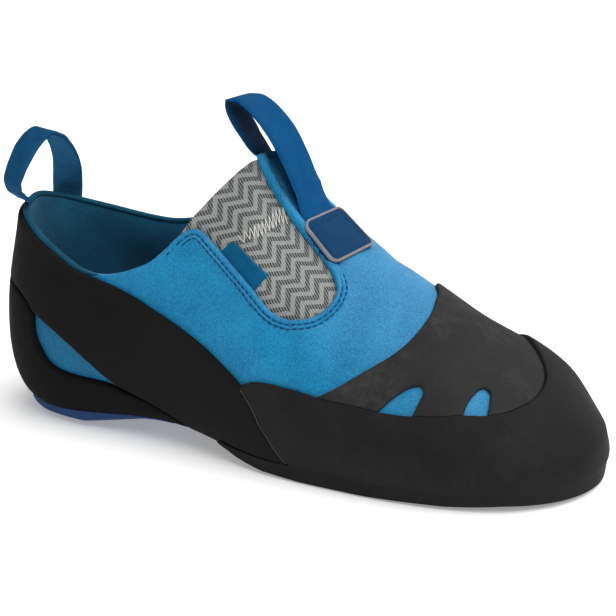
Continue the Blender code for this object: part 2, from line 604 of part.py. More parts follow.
def build_badge():
    long, broad, thick, radius = BADGE
    row = INSTEP_LOOP[1]
    ahead = np.array(INSTEP_LOOP[2][:3], float) - np.array(INSTEP_LOOP[0][:3], float)
    ahead = ahead / np.linalg.norm(ahead)
    turn = math.radians(row.turn)
    across = np.array((math.cos(turn), math.sin(turn), 0))
    across = across - across.dot(ahead) * ahead
    across = across / np.linalg.norm(across)
    face = np.cross(across, ahead)
    foot = np.array(row[:3]) + BADGE_SHIFT[0] * across + BADGE_SHIFT[1] * ahead + face * (WEBBING / 2 + GAP)
    ring = []
    for qx, qy, quarter in ((1, 1, 0), (-1, 1, 1), (-1, -1, 2), (1, -1, 3)):
        for k in range(5):
            angle = math.pi / 2 * (quarter + k / 4)
            ring.append((qx * (broad / 2 - radius) + radius * math.cos(angle),
                         qy * (long / 2 - radius) + radius * math.sin(angle)))
    low = [foot + across * a + ahead * b for a, b in ring]
    high = [p + face * thick for p in low]
    count = len(ring)
    faces = []
    for k in range(1, count - 1):
        faces.append((0, k + 1, k))
        faces.append((count, count + k, count + k + 1))
    for k in range(count):
        n = (k + 1) % count
        faces += [(k, n, n + count), (k, n + count, k + count)]
    piece("badge", np.array(low + high), faces, STRAP, 0.5)


build_upper()
build_gore()
build_rand()
build_patch()
build_sling()
build_cup()
build_soles()
build_insole()
build_loops()
build_badge()
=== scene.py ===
"""Looks of the climbing shoe: lasted upper, gore, rubber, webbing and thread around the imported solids.

Lengths are in millimetres on the last, as in the part's own source, and become metres as each mesh is made.
A station says how far round the shoe a point is: 0 heel back, 13 toe tip along the little toe side, 26 heel
again along the big toe side. A share says how far up it is: -1 middle of the bottom, 0 feather line,
1 collar or crest.
"""

from collections import namedtuple
import math

import bpy
import numpy as np
from mathutils import Matrix, Vector
from mathutils.bvhtree import BVHTree
from mathutils.geometry import delaunay_2d_cdt
from mathutils.kdtree import KDTree


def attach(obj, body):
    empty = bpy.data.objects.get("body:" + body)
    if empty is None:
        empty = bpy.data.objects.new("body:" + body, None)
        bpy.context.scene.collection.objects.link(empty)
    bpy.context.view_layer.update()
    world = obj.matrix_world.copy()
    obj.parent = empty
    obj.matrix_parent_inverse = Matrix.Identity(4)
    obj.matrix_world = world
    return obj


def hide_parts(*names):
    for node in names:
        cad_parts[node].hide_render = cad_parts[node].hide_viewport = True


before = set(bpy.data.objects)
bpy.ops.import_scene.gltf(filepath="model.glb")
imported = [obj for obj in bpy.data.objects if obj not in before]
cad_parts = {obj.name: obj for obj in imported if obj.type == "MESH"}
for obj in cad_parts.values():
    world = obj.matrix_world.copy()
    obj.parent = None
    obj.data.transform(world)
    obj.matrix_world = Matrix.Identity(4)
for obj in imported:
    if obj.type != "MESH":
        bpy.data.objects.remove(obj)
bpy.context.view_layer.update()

MM = 0.001
ORIGIN_X = 132.35  # the part's origin on the last
ORIGIN_Y = -1.3
WALL = 1.6  # thickness of the upper, and of the other pieces below
GORE = 1.0
RUBBER = 2.0
PATCH = 1.3
INSOLE = 1.6
WEBBING = 1.6
GAP = 0.45  # between the upper and what lies on it or under it
EDGE_SHARE = 0.06  # how far up its side the outsole reaches
BADGE = (21.0, 25.5, 3.6)  # long, broad, corner radius
BADGE_SHIFT = (-1.0, -2.4)  # across and up the strap from its second row
PITCH = 1.6  # between the points of a surface
PLAIN = (24.0, 80.0)  # millimetres to a station and to a whole share
TINY = 1e-9

# Sections of the last
Section = namedtuple("Section", "out_x out_y out_z in_x in_y in_z stand_out wide_up "
                     "rim_x rim_half rim_out_z rim_in_z full_side full_over lean")
SECTIONS = [
    Section(12, 0, 7, 12, 0, 7, 9, 26, 9, 0, 84, 84, 0.45, 0.35, 0.35),  # heel back
    Section(17, -15, 7, 17, 15, 7, 9, 26, 13, 14, 83, 80, 0.45, 0.35, 0.35),  # heel corner
    Section(36, -25, 7, 36, 25, 7, 9, 26, 29, 25, 75, 74, 0.45, 0.35, 0.35),  # heel side
    Section(66, -28, 10, 64, 25, 11, 8, 24, 54, 30, 66, 70, 0.45, 0.35, 0.35),  # rear waist
    Section(94, -31, 11, 92, 21, 14, 7, 21, 77, 31, 73, 75, 0.45, 0.40, 0.35),  # waist
    Section(118, -36, 7.5, 116, 22, 12, 6, 19, 97, 25, 92, 92, 0.42, 0.45, 0.30),  # throat side
    Section(137, -41, 6, 135, 29, 9, 5, 16, 118, 11, 115, 115, 0.40, 0.50, 0.25),  # throat corner
    Section(154, -44, 6, 152, 35, 7, 4, 14, 123, 0, 116, 116, 0.36, 0.45, 0.10),  # throat
    Section(175, -46, 6, 172, 41, 6, 4, 12, 149, 0, 87, 87, 0.30, 0.45, 0),  # instep
    Section(198, -47, 6, 194, 44, 6, 4, 11, 178, 0, 70, 70, 0.28, 0.50, 0),  # ball
    Section(221, -45, 6, 215, 43, 6, 4, 10, 203, 0, 57, 57, 0.32, 0.55, 0),  # little toe
    Section(243, -38, 6, 233, 35, 6, 3, 10, 220, 0, 47, 47, 0.31, 0.55, 0),  # toe side
    Section(257, -21, 6.5, 246, 22, 6.5, 3, 10, 223, 0, 45, 45, 0.20, 0.52, 0),  # toe corner
    Section(257, 1, 7, 257, 1, 7, 3, 10, 223, 0, 45, 45, 0.16, 0.50, 0),  # toe tip
]
LAST = len(SECTIONS) - 1  # station of the toe tip
ROUND = 2 * LAST  # stations once round the shoe
THROAT = 7  # station where the collar ends and the crest of the instep begins
LOW = 0.2  # share of the widest line
FULL_LOW = 0.55  # how full the wall is below that line
CREST_FALL = 0.5  # slope of the instep's line past the toes
TOP_SHARE = 0.985  # above this the wall's direction no longer changes
NUDGE = (0.02, 0.005)  # station and share to either side that give the wall's direction
# Soft swells and hollows of the last: where they lie, how far they reach and how far they stand out
Swell = namedtuple("Swell", "station share long high out")
SWELLS = [
    Swell(13.5, 0.07, 1.1, 0.09, 1.8),  # rim of the toe
    Swell(14.0, 0.35, 1.0, 0.24, -1.9),  # front of the big toe
    Swell(15.3, 0.52, 0.45, 0.20, 1.0),  # over the big toe
    Swell(16.35, 0.66, 0.55, 0.25, -2.5),  # beside the big toe joint
    Swell(18.1, 0.80, 0.70, 0.20, 2.5),  # inner instep
]
SWELL_CREST = 8  # power by which the swells fade towards the crest
SWELL_FOOT = 0.03  # share over which they fade towards the feather line
# Height of the sole's underside by length
GROUND = [(0, 1.5), (12, 0), (44, 0), (72, 6), (100, 8), (112, 4), (122, 0.5), (128, 0), (218, 0),
          (240, 1.3), (252, 1.0), (262, 0.4)]

# Edges of the panels: station, share
GORE_HOLE = [(6.12, 1), (6.42, 0.925), (6.82, 0.857), (7.21, 0.828), (7.44, 0.821), (7.64, 0.815),
             (7.80, 0.805), (7.91, 0.785), (7.96, 0.755), (7.92, 0.715), (7.79, 0.662), (7.58, 0.605),
             (7.26, 0.552), (6.85, 0.523), (6.48, 0.527), (6.15, 0.556), (5.84, 0.600), (5.57, 0.674),
             (5.34, 0.779), (5.18, 0.880), (5.12, 0.922), (5.04, 0.957), (4.93, 0.980), (4.78, 0.994),
             (4.62, 1)]
GORE_EDGE = [(6.46, 1), (6.58, 0.95), (7.03, 0.86), (7.45, 0.86), (7.85, 0.84), (8.1, 0.79), (8.15, 0.70),
             (7.95, 0.61), (7.5, 0.50), (6.95, 0.46), (6.4, 0.48), (5.9, 0.52), (5.5, 0.59), (5.2, 0.70),
             (4.95, 0.83), (4.75, 0.91), (4.55, 0.965), (4.45, 1)]
RAND_TOP = [(5.55, 0.293), (5.89, 0.312), (6.33, 0.325), (6.84, 0.332), (7.24, 0.343), (7.56, 0.361),
            (7.96, 0.386), (8.40, 0.407), (8.74, 0.422), (9.29, 0.454), (9.81, 0.497), (10.18, 0.540),
            (10.58, 0.583), (10.88, 0.625), (11.31, 0.687), (11.77, 0.745), (12.37, 0.786),
            (13.22, 0.806), (14.09, 0.812), (14.8, 0.800), (15.3, 0.765), (15.65, 0.715), (16, 0.645),
            (16.4, 0.565), (16.9, 0.490), (17.4, 0.440), (18, 0.405), (18.5, 0.380), (19, 0.358),
            (19.6, 0.335), (20.1, 0.315), (20.45, 0.293)]
SEAM = [(5.55, 0.293), (5.75, 0.263), (6.01, 0.218), (6.27, 0.172), (6.45, 0.130), (6.62, 0.085),
        (6.75, 0.03), (6.8, 0)]
PATCH_REAR = [(7.56, 0.365), (8.03, 0.449), (8.41, 0.527), (8.67, 0.587), (8.96, 0.664), (9.18, 0.744),
              (9.34, 0.833), (9.44, 0.927), (9.46, 1)]
PATCH_REAR_IN = [(16.54, 1), (16.60, 0.975), (16.68, 0.940), (16.78, 0.905), (16.91, 0.867),
                 (17.08, 0.81), (17.32, 0.71), (17.6, 0.61), (17.9, 0.53), (18.2, 0.45), (18.45, 0.383)]
WINDOW_REAR = [(8.86, 0.465), (9.04, 0.516), (9.21, 0.557), (9.36, 0.584), (9.45, 0.590), (9.48, 0.574),
               (9.44, 0.538), (9.38, 0.498)]
WINDOW_FRONT = [(10.22, 0.603), (10.31, 0.661), (10.40, 0.703), (10.50, 0.725), (10.58, 0.715),
                (10.59, 0.667)]
WINDOW_FEET = (8.71, 9.33, 10.17, 10.56)  # where the windows start and stop on the rand
SLING_RIM = 0.968  # share of the sling's top edge round the heel
SLING_UNDER = 4.4  # station of the sling's rear edge under the foot
SLING_FRONT = [(3.02, 0.968), (3.30, 0.905), (3.65, 0.785), (3.90, 0.680), (4.16, 0.589), (4.46, 0.490),
               (4.82, 0.406), (5.17, 0.345), (5.55, 0.293)]
CUP_TOP = [(0, 0.50), (0.8, 0.495), (1.23, 0.487), (1.46, 0.475), (1.62, 0.447), (1.72, 0.400),
           (1.74, 0.315), (1.78, 0.243), (1.88, 0.193), (2.01, 0.171), (2.18, 0.159), (2.39, 0.152),
           (2.64, 0.147), (2.86, 0.142), (3.1, 0.127), (3.6, 0.098), (4, 0.052), (4.2, 0)]
SLING_FOOT = [(0, 0.506), (0.8, 0.501), (1.23, 0.493), (1.46, 0.484), (1.62, 0.457), (1.74, 0.412),
              (1.94, 0.370), (2.12, 0.327), (2.28, 0.279), (2.44, 0.227), (2.51, 0.2), (2.66, 0.183),
              (2.80, 0.165), (3.0, 0.143), (3.3, 0.122), (3.7, 0.092), (4.04, 0.055), (4.25, 0)]

# Webbing by its middle line, the direction across it in degrees round and up, and its breadth
Webbing = namedtuple("Webbing", "x y z turn tilt wide")
INSTEP_LOOP = [
    Webbing(157, -4.4, 83.5, 78, 0, 22),
    Webbing(149.3, -2.2, 89.6, 78, 0, 22.5),
    Webbing(141.9, -2.2, 96.6, 85, 0, 20.8),
    Webbing(136.5, -2.6, 105.3, 88.5, -1, 18.5),
    Webbing(131, -1.7, 116, 88.5, -0.7, 18.5),
    Webbing(125.5, -1.4, 125.4, 88.5, -0.4, 18.5),
    Webbing(121.7, -1, 129.6, 90, -0.8, 18.5),
    Webbing(117.3, -0.5, 133.3, 91.5, -1.8, 18.5),
    Webbing(113.3, -0.4, 135.8, 91.5, -4.5, 18.5),
    Webbing(109.8, -0.3, 136.8, 88.7, -9, 18.5),
    Webbing(106.9, -0.5, 136.6, 87, -8.5, 18.5),
    Webbing(105.4, -1, 135, 94, -3, 18.5),
    Webbing(106.4, -2.3, 131.9, 100, -0.5, 16.8),
    Webbing(108.8, -3.1, 128.5, 101, 0, 17.3),
    Webbing(111.3, -2.9, 124.8, 102, 0, 17.5),
    Webbing(113.1, -1.7, 120.8, 101, 0, 15.4),
    Webbing(114.8, 0.4, 116.8, 99, 0, 11.8),
    Webbing(116.9, 1.7, 112.3, 96, 0, 9.5),
    Webbing(119.2, 1.1, 106.5, 92, 0, 9.2),
    Webbing(122.6, 0, 100.5, 90, 0, 11),
]
HEEL_LOOP = [
    Webbing(15, -12.4, 85, -34, 0, 8),
    Webbing(13.6, -13.1, 86.3, -28, 0, 9.5),
    Webbing(11.5, -14.2, 87.9, -25, 0, 11.5),
    Webbing(9.7, -15.4, 90.1, -27, 0, 12),
    Webbing(9, -15.6, 92.9, -27.5, 0, 12),
    Webbing(9.2, -13.6, 97.2, -24.5, 0, 12),
    Webbing(9.6, -9.1, 102, -20, 0, 12),
    Webbing(9.7, -3.6, 105.8, -14.5, 0, 12),
    Webbing(10.6, 1, 108.3, -12, 1, 12),
    Webbing(12.2, 4.4, 109.4, -13, 1, 12),
    Webbing(14.1, 7.5, 107.6, -13, -1, 12),
    Webbing(15.9, 9.8, 103.3, -6.5, -1, 12),
    Webbing(17, 11.5, 98, 3.5, 0, 12),
    Webbing(17.1, 12.7, 92.9, 15, 0, 12),
    Webbing(15.4, 15.1, 85.8, 26, 0, 12),
    Webbing(12.5, 19.3, 79.5, 36, 0, 12),
    Webbing(11.7, 19.8, 74.5, 38, 0, 12),
]


# Small helpers

def unit(vectors):
    """The same directions with a length of one."""
    return vectors / np.maximum(np.linalg.norm(vectors, axis=-1, keepdims=True), TINY)


def run_length(points):
    """How far along a line each of its points lies."""
    return np.concatenate([[0], np.cumsum(np.linalg.norm(np.diff(points, axis=0), axis=1))])


def read(rows, at):
    """Values of a table with two columns at given places."""
    return np.interp(at, *zip(*rows))


# The lasted shape

def loop_controls(values):
    """Control points of the closed cubic that passes through the given rows."""
    count = len(values)
    weights = np.zeros((count, count))
    for i in range(count):
        weights[i, i] = 4 / 6
        weights[i, (i + 1) % count] = 1 / 6
        weights[i, i - 1] = 1 / 6
    return np.linalg.solve(weights, values)


def on_loop(controls, t):
    """Rows on the closed cubic."""
    count = len(controls)
    i = np.floor(t).astype(int)
    f = (t - i)[:, None]
    basis = ((1 - f) ** 3, 3 * f ** 3 - 6 * f ** 2 + 4, 1 + 3 * f + 3 * f ** 2 - 3 * f ** 3, f ** 3)
    return sum(b * controls[(i + k - 1) % count] for k, b in enumerate(basis)) / 6


def loop_slope(controls, t):
    """Change of the rows along the closed cubic."""
    count = len(controls)
    i = np.floor(t).astype(int)
    f = (t - i)[:, None]
    basis = (-(1 - f) ** 2, 3 * f ** 2 - 4 * f, 1 + 2 * f - 3 * f ** 2, f ** 2)
    return sum(b * controls[(i + k - 1) % count] for k, b in enumerate(basis)) / 2


def steady(xs, ys, t):
    """Cubic through the rows that never swings past them."""
    xs = np.asarray(xs, float)
    ys = np.asarray(ys, float).reshape(len(xs), -1)
    step = np.diff(xs)[:, None]
    rise = np.diff(ys, axis=0) / step
    slope = np.zeros_like(ys)
    slope[0] = rise[0]
    slope[-1] = rise[-1]
    same = rise[:-1] * rise[1:] > 0
    before = np.where(same, rise[:-1], 1)
    after = np.where(same, rise[1:], 1)
    w1 = 2 * step[1:] + step[:-1]
    w2 = step[1:] + 2 * step[:-1]
    slope[1:-1] = np.where(same, (w1 + w2) / (w1 / before + w2 / after), 0)
    t = np.clip(np.asarray(t, float), xs[0], xs[-1])
    i = np.clip(np.searchsorted(xs, t, side="right") - 1, 0, len(xs) - 2)
    f = ((t - xs[i]) / step[i, 0])[:, None]
    start = (1 + 2 * f) * (1 - f) ** 2 * ys[i] + f * (1 - f) ** 2 * step[i] * slope[i]
    return start + f ** 2 * (3 - 2 * f) * ys[i + 1] + f ** 2 * (f - 1) * step[i] * slope[i + 1]


OUTER_ROWS = [(s.out_x, s.out_y, s.out_z, s.stand_out) for s in SECTIONS]
INNER_ROWS = [(s.in_x, s.in_y, s.in_z, s.stand_out) for s in SECTIONS]
FEATHER = loop_controls(np.array(OUTER_ROWS + INNER_ROWS[-2:0:-1], float))
RIM = np.array(SECTIONS, float)[:, Section._fields.index("wide_up"):]
BREADTH = Section._fields.index("rim_half") - Section._fields.index("wide_up")
# The rim runs on past the heel, where its breadth changes sides
EVEN_RIM = np.concatenate([RIM[1:2] * np.where(np.arange(RIM.shape[1]) == BREADTH, -1, 1), RIM])
CREST = steady(range(LAST + 1), RIM, np.linspace(THROAT, LAST - 1, 121))[:, 1:5]


def bezier(a, b, c, d, f):
    return a * (1 - f) ** 3 + 3 * b * f * (1 - f) ** 2 + 3 * c * f ** 2 * (1 - f) + d * f ** 3


def surface(station, share):
    """Points of the lasted shape."""
    station, share = np.broadcast_arrays(np.asarray(station, float), np.asarray(share, float))
    t = station % ROUND
    inner_side = t > LAST
    folded = np.where(inner_side, ROUND - t, t)
    loop = on_loop(FEATHER, t)
    other = on_loop(FEATHER, (ROUND - t) % ROUND)
    slope = loop_slope(FEATHER, t)
    out = unit(np.stack([slope[:, 1], -slope[:, 0]], 1))
    foot = loop[:, :3]
    middle = (foot + other[:, :3]) / 2
    wide_up, rim_x, half, out_z, in_z, side, over, lean = steady(range(-1, LAST + 1), EVEN_RIM, folded).T
    wide = foot.copy()
    wide[:, :2] += out * loop[:, 3:4]
    wide[:, 2] += wide_up
    top = np.stack([rim_x, np.where(inner_side, half, -half), np.where(inner_side, in_z, out_z)], 1)
    low_1 = foot.copy()
    low_1[:, :2] += FULL_LOW * (wide - foot)[:, :2]
    low_2 = wide.copy()
    low_2[:, 2] -= FULL_LOW * (wide - foot)[:, 2]
    high_1 = wide.copy()
    high_1[:, 2] += side * (top - wide)[:, 2]
    high_2 = top.copy()
    high_2[:, :2] += over[:, None] * (wide - top)[:, :2]
    high_2[:, 2] -= lean * (top - wide)[:, 2]
    crest_rise = np.interp(high_2[:, 0], CREST[:, 0], CREST[:, 2]) - top[:, 2]
    beyond = np.maximum(high_2[:, 0] - CREST[-1, 0], 0)
    on_crest = np.clip(folded - THROAT + 1, 0, 1)
    high_2[:, 2] += on_crest * (crest_rise - CREST_FALL * beyond)
    low_f = np.clip(share / LOW, 0, 1)[:, None]
    high_f = np.clip((share - LOW) / (1 - LOW), 0, 1)[:, None]
    wall = np.where(share[:, None] < LOW, bezier(foot, low_1, low_2, wide, low_f),
                    bezier(wide, high_1, high_2, top, high_f))
    lean_up = 0.5 * np.pi * high_f
    away = np.concatenate([out * np.cos(lean_up), np.sin(lean_up)], 1)
    return np.where(share[:, None] < 0, foot + (middle - foot) * -share[:, None],
                    wall + away * swelled(t, np.clip(share, 0, 1))[:, None])


def swelled(t, share):
    """How far the swells stand out, nothing at the crest and at the feather line."""
    total = np.zeros(len(t))
    for swell in SWELLS:
        along = (t - swell.station) / swell.long
        up = (share - swell.share) / swell.high
        total += swell.out * np.exp(-along ** 2 - up ** 2)
    return total * (1 - share ** SWELL_CREST) * np.minimum(share / SWELL_FOOT, 1)


def normals(station, share):
    """Unit outward normals of the lasted shape."""
    station = np.asarray(station, float)
    share = np.minimum(np.asarray(share, float), TOP_SHARE)
    round_by, up_by = NUDGE
    along = surface(station + round_by, share) - surface(station - round_by, share)
    up = surface(station, share + up_by) - surface(station, np.maximum(share - up_by, -1))
    return unit(np.cross(along, up))


def lifted(station, share, lift):
    """Points off the lasted shape."""
    return surface(station, share) + np.reshape(lift, (-1, 1)) * normals(station, share)


# Edges and surfaces laid out on the last

def smooth(rows, step, scale=None):
    """A curve through the rows, with a point about every step."""
    rows = np.asarray(rows, float)
    plain = rows if scale is None else rows * scale
    length = run_length(plain)
    fine = np.linspace(0, length[-1], max(2, math.ceil(length[-1] / step) + 1))
    if len(rows) == 2:
        return rows[0] + (rows[1] - rows[0]) * (fine / length[-1])[:, None]
    slope = np.gradient(rows, length, axis=0)
    i = np.clip(np.searchsorted(length, fine, side="right") - 1, 0, len(rows) - 2)
    h = (length[i + 1] - length[i])[:, None]
    f = (fine - length[i])[:, None] / h
    return ((1 + 2 * f) * (1 - f) ** 2 * rows[i] + f * (1 - f) ** 2 * h * slope[i]
            + f ** 2 * (3 - 2 * f) * rows[i + 1] + f ** 2 * (f - 1) * h * slope[i + 1])


def edge(rows, step=1.0):
    """An edge through its rows, even across the widest line, where a share stands for another length."""
    s, v = np.asarray(rows, float).T
    even = smooth(np.stack([s, v + np.minimum(v, LOW)], 1), step, PLAIN)
    return np.stack([even[:, 0], np.where(even[:, 1] < 2 * LOW, even[:, 1] / 2, even[:, 1] - LOW)], 1)


def ring(*runs):
    """A closed outline, counter-clockwise, from edges that follow one another and meet in corners."""
    points = np.concatenate([edge(r)[:-1] for r in runs])
    x, y = (points * PLAIN).T
    area = (x * np.roll(y, -1) - y * np.roll(x, -1)).sum()
    return points if area > 0 else points[::-1]


def mirrored(rows):
    """The same edge on the big toe side, walked the other way."""
    return [(ROUND - t, v) for t, v in reversed(rows)]


def turned(rows):
    """The same edge across the heel, walked the other way."""
    return [(-t, v) for t, v in reversed(rows)]


def inset(rows, depth, closed=True):
    """An edge moved to its left by a depth measured on the last."""
    s, v = rows.T
    base = surface(s, v)
    ahead = np.roll(base, -1, 0) - np.roll(base, 1, 0) if closed else np.gradient(base, axis=0)
    side = unit(np.cross(normals(s, v), ahead))
    round_by = (surface(s + 0.01, v) - surface(s - 0.01, v)) / 0.02
    low, high = np.maximum(v - 0.004, -1), np.minimum(v + 0.004, 1)
    up_by = (surface(s, high) - surface(s, low)) / (high - low)[:, None]
    a = (round_by * round_by).sum(1)
    b = (round_by * up_by).sum(1)
    c = (up_by * up_by).sum(1)
    p = (side * round_by).sum(1)
    q = (side * up_by).sum(1)
    det = np.maximum(a * c - b * b, 1e-6)
    return rows + depth * np.stack([(c * p - b * q) / det, (a * q - b * p) / det], 1)


def free_steps(outline):
    """Which steps of an outline are real edges, not where the surface meets itself or turns under."""
    s, v = outline.T
    crest = (v > 0.999) & (np.abs(s % ROUND - LAST) <= LAST - THROAT)
    heel = (np.abs(s) < 1e-6) | (np.abs(s - ROUND) < 1e-6)
    under = v < 0.001
    return ~np.any([q & np.roll(q, -1) for q in (crest, heel, under)], axis=0)


def within(points, outline):
    """Which points lie inside a closed outline."""
    inside = np.zeros(len(points), bool)
    x, y = points.T
    for (ax, ay), (bx, by) in zip(outline, np.roll(outline, -1, axis=0)):
        crosses = (ay > y) != (by > y)
        level = by - ay if by != ay else 1
        inside ^= crosses & (x < ax + (y - ay) * (bx - ax) / level)
    return inside


def nearest(points, places):
    """Distance from each point to the nearest of the places, and which that is."""
    tree = KDTree(len(places))
    for i, p in enumerate(places):
        tree.insert(Vector((*p, 0)[:3]), i)
    tree.balance()
    found = [tree.find(Vector((*p, 0)[:3])) for p in points]
    return np.array([f[2] for f in found]), np.array([f[1] for f in found])


EDGE_ROWS = (0.25, 0.7, 1.3)  # rows of points along an edge, by distance from it


def fill(outline, depths=EDGE_ROWS, extra=()):
    """Stations, shares and triangles that fill an outline, with closer rows along its free edge."""
    free = free_steps(outline)
    free = free | np.roll(free, 1)
    kept = [np.reshape(np.asarray(e, float), (-1, 2)) for e in extra]
    for depth in depths:
        row = inset(outline, depth)[free]
        gap, _ = nearest(surface(*row.T), surface(*outline.T))
        kept.append(row[gap > 0.8 * depth])
    step = PITCH / np.array(PLAIN)
    low, high = outline.min(0), outline.max(0)
    places = [np.arange(math.ceil(a / d), math.floor(b / d) + 1) for a, b, d in zip(low, high, step)]
    cells = np.stack(np.meshgrid(*places, indexing="ij"), -1).reshape(-1, 2)
    grid = cells * step
    s, v = grid.T
    run = np.linalg.norm(surface(s + 0.02, v) - surface(s, v), axis=1) / 0.02
    skip = 2 ** np.clip(np.floor(np.log2(PITCH / np.maximum(run * step[0], 0.01))), 0, 5).astype(int)
    grid = grid[cells[:, 0] % skip == 0]
    rim = outline * PLAIN
    close = np.concatenate([outline] + kept) * PLAIN
    gap, _ = nearest(grid * PLAIN, close)
    grid = grid[gap > 0.6 * PITCH]
    inner = np.concatenate(kept + [grid]) * PLAIN
    inner = inner[within(inner, rim)]
    count = len(rim)
    edges = [(i, (i + 1) % count) for i in range(count)]
    found = delaunay_2d_cdt([Vector(p) for p in np.concatenate([rim, inner])], edges, [], 0, 1e-5)
    laid = np.array([tuple(p) for p in found[0]])
    faces = np.array([tuple(f) for f in found[2]], int)
    keep = within(laid[faces].mean(axis=1), rim)
    return laid / PLAIN, faces[keep]


Laid = namedtuple("Laid", "place point normal faces gap")


WELD_SHIFT = 0.00013  # keeps equal points from being rounded apart


def weld(points, faces):
    """The first of each set of equal points, which of these each point is, and the triangles left."""
    places = np.round(points + WELD_SHIFT, 2)
    _, first, index = np.unique(places, axis=0, return_index=True, return_inverse=True)
    index = index.reshape(-1)
    faces = index[faces]
    a, b, c = faces.T
    return first, index, faces[(a != b) & (b != c) & (c != a)]


def lay(outline, depths=EDGE_ROWS, extra=()):
    """An outline as one welded surface: places, points, normals, triangles and distance to the edge."""
    place, faces = fill(outline, depths, extra)
    point = surface(*place.T)
    first, index, faces = weld(point, faces)
    shared = np.zeros((len(first), 3))
    np.add.at(shared, index, normals(*place.T))
    gap, _ = nearest(point[first], edge_points(outline))
    return Laid(place[first], point[first], unit(shared), faces, gap)


def edge_points(outline):
    """Points close together along the free edge of an outline."""
    after = np.roll(outline, -1, axis=0)
    free = free_steps(outline)
    steps = np.linspace(0, 1, 4, endpoint=False)[:, None, None]
    return surface(*(outline[free] + steps * (after - outline)[free]).reshape(-1, 2).T)


def shell(outer, inner, faces):
    """Points and faces of two skins with the same triangles, closed round their edges."""
    count = len(inner)
    ways = {(int(a), int(b)) for f in faces for a, b in zip(f, np.roll(f, -1))}
    rim = sorted((a, b) for a, b in ways if (b, a) not in ways)
    skin = faces.tolist() + (faces[:, ::-1] + count).tolist()
    for a, b in rim:
        skin.append((b, a, a + count, b + count))
    return np.concatenate([outer, inner]), skin


def piece(name, points, faces, looks, face_looks=None, cloth=None, sharp=45, node=None, slot=None):
    """One named object that rides with the shoe. Cloth gives across and along it at each point."""
    placed = (np.asarray(points, float) - (ORIGIN_X, ORIGIN_Y, 0)) * MM
    mesh = bpy.data.meshes.new(name)
    mesh.from_pydata(placed.tolist(), [], faces)
    for look in looks:
        mesh.materials.append(look)
    if face_looks is not None:
        mesh.polygons.foreach_set("material_index", np.asarray(face_looks, np.int32))
    if cloth is not None:
        corners = np.zeros(len(mesh.loops), np.int32)
        mesh.loops.foreach_get("vertex_index", corners)
        layer = mesh.uv_layers.new(name="cloth")
        layer.uv.foreach_set("vector", np.asarray(cloth, np.float32)[corners].ravel())
    mesh.shade_smooth()
    mesh.set_sharp_from_angle(angle=math.radians(sharp))
    made = bpy.data.objects.new(name, mesh)
    bpy.context.scene.collection.objects.link(made)
    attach(made, "root")
    if node:
        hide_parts(node)
    return made


Ridge = namedtuple("Ridge", "high at wide")  # a groove if its height is below nothing


def ridges(far, rows):
    """Height of ridges that run along an edge, at distances from it."""
    return sum(r.high * np.exp(-((far - r.at) / r.wide) ** 2) for r in rows)


def rounded(gap, radius, foot=0.3):
    """Share of full thickness at a distance from an edge that is rounded off."""
    away = 1 - np.clip(gap / radius, 0, 1)
    return foot + (1 - foot) * np.sqrt(1 - away ** 2)


# Materials

class Look:
    """A material with short ways to add nodes."""

    def __init__(self, name, **values):
        self.material = bpy.data.materials.new(name)
        self.material.use_nodes = True
        self.tree = self.material.node_tree
        self.shader = self.tree.nodes["Principled BSDF"]
        for socket, value in values.items():
            self.shader.inputs[socket.replace("_", " ")].default_value = value

    def node(self, kind, inputs=None, **settings):
        made = self.tree.nodes.new(kind)
        for key, value in settings.items():
            setattr(made, key, value)
        for key, value in (inputs or {}).items():
            if isinstance(value, bpy.types.NodeSocket):
                self.tree.links.new(value, made.inputs[key])
            else:
                made.inputs[key].default_value = value
        return made

    def place(self):
        """Millimetres in the shoe's own frame."""
        where = self.node("ShaderNodeTexCoord").outputs["Object"]
        scaled = self.node("ShaderNodeVectorMath", {0: where, 1: (1 / MM,) * 3}, operation="MULTIPLY")
        return scaled.outputs[0]

    def cloth(self):
        """Across and along the cloth in millimetres."""
        return self.parts(self.node("ShaderNodeUVMap", uv_map="cloth").outputs[0])[:2]

    def parts(self, vector):
        """The three parts of a vector."""
        return tuple(self.node("ShaderNodeSeparateXYZ", {0: vector}).outputs)

    def noise(self, size, detail=3, rough=0.55):
        return self.node("ShaderNodeTexNoise", {"Vector": self.place(), "Scale": 1 / size, "Detail": detail,
                                                "Roughness": rough}).outputs[0]

    def math(self, operation, a, b=0.0):
        return self.node("ShaderNodeMath", {0: a, 1: b}, operation=operation).outputs[0]

    def blend(self, one, share, two):
        """One signal with a share of another."""
        return self.math("ADD", self.math("MULTIPLY", one, 1 - share), self.math("MULTIPLY", two, share))

    def wave(self, value, length):
        """Rises from 0 to 1 and falls again within each length."""
        return self.math("MULTIPLY", self.math("PINGPONG", self.math("DIVIDE", value, length), 0.5), 2)

    def span(self, value, low, high, to_low=0.0, to_high=1.0):
        """A signal moved from one range to another and kept within it."""
        ends = {0: value, 1: low, 2: high, 3: to_low, 4: to_high}
        return self.node("ShaderNodeMapRange", ends).outputs[0]

    def mix(self, amount, one, two):
        """Two colours mixed by an amount."""
        made = self.node("ShaderNodeMix", data_type="RGBA")
        for key, value in ((0, amount), (6, one), (7, two)):
            if isinstance(value, bpy.types.NodeSocket):
                self.tree.links.new(value, made.inputs[key])
            else:
                made.inputs[key].default_value = (*value, 1)
        return made.outputs[2]

    def colour(self, value):
        self.tree.links.new(value, self.shader.inputs["Base Color"])

    def rough(self, value):
        self.tree.links.new(value, self.shader.inputs["Roughness"])

    def bump(self, height, depth, after=None):
        """Relief whose height, from 0 to 1, stands for a depth in millimetres."""
        made = self.node("ShaderNodeBump", {"Height": height, "Distance": depth * MM})
        if after:
            self.tree.links.new(after, made.inputs["Normal"])
        self.tree.links.new(made.outputs[0], self.shader.inputs["Normal"])
        return made.outputs[0]


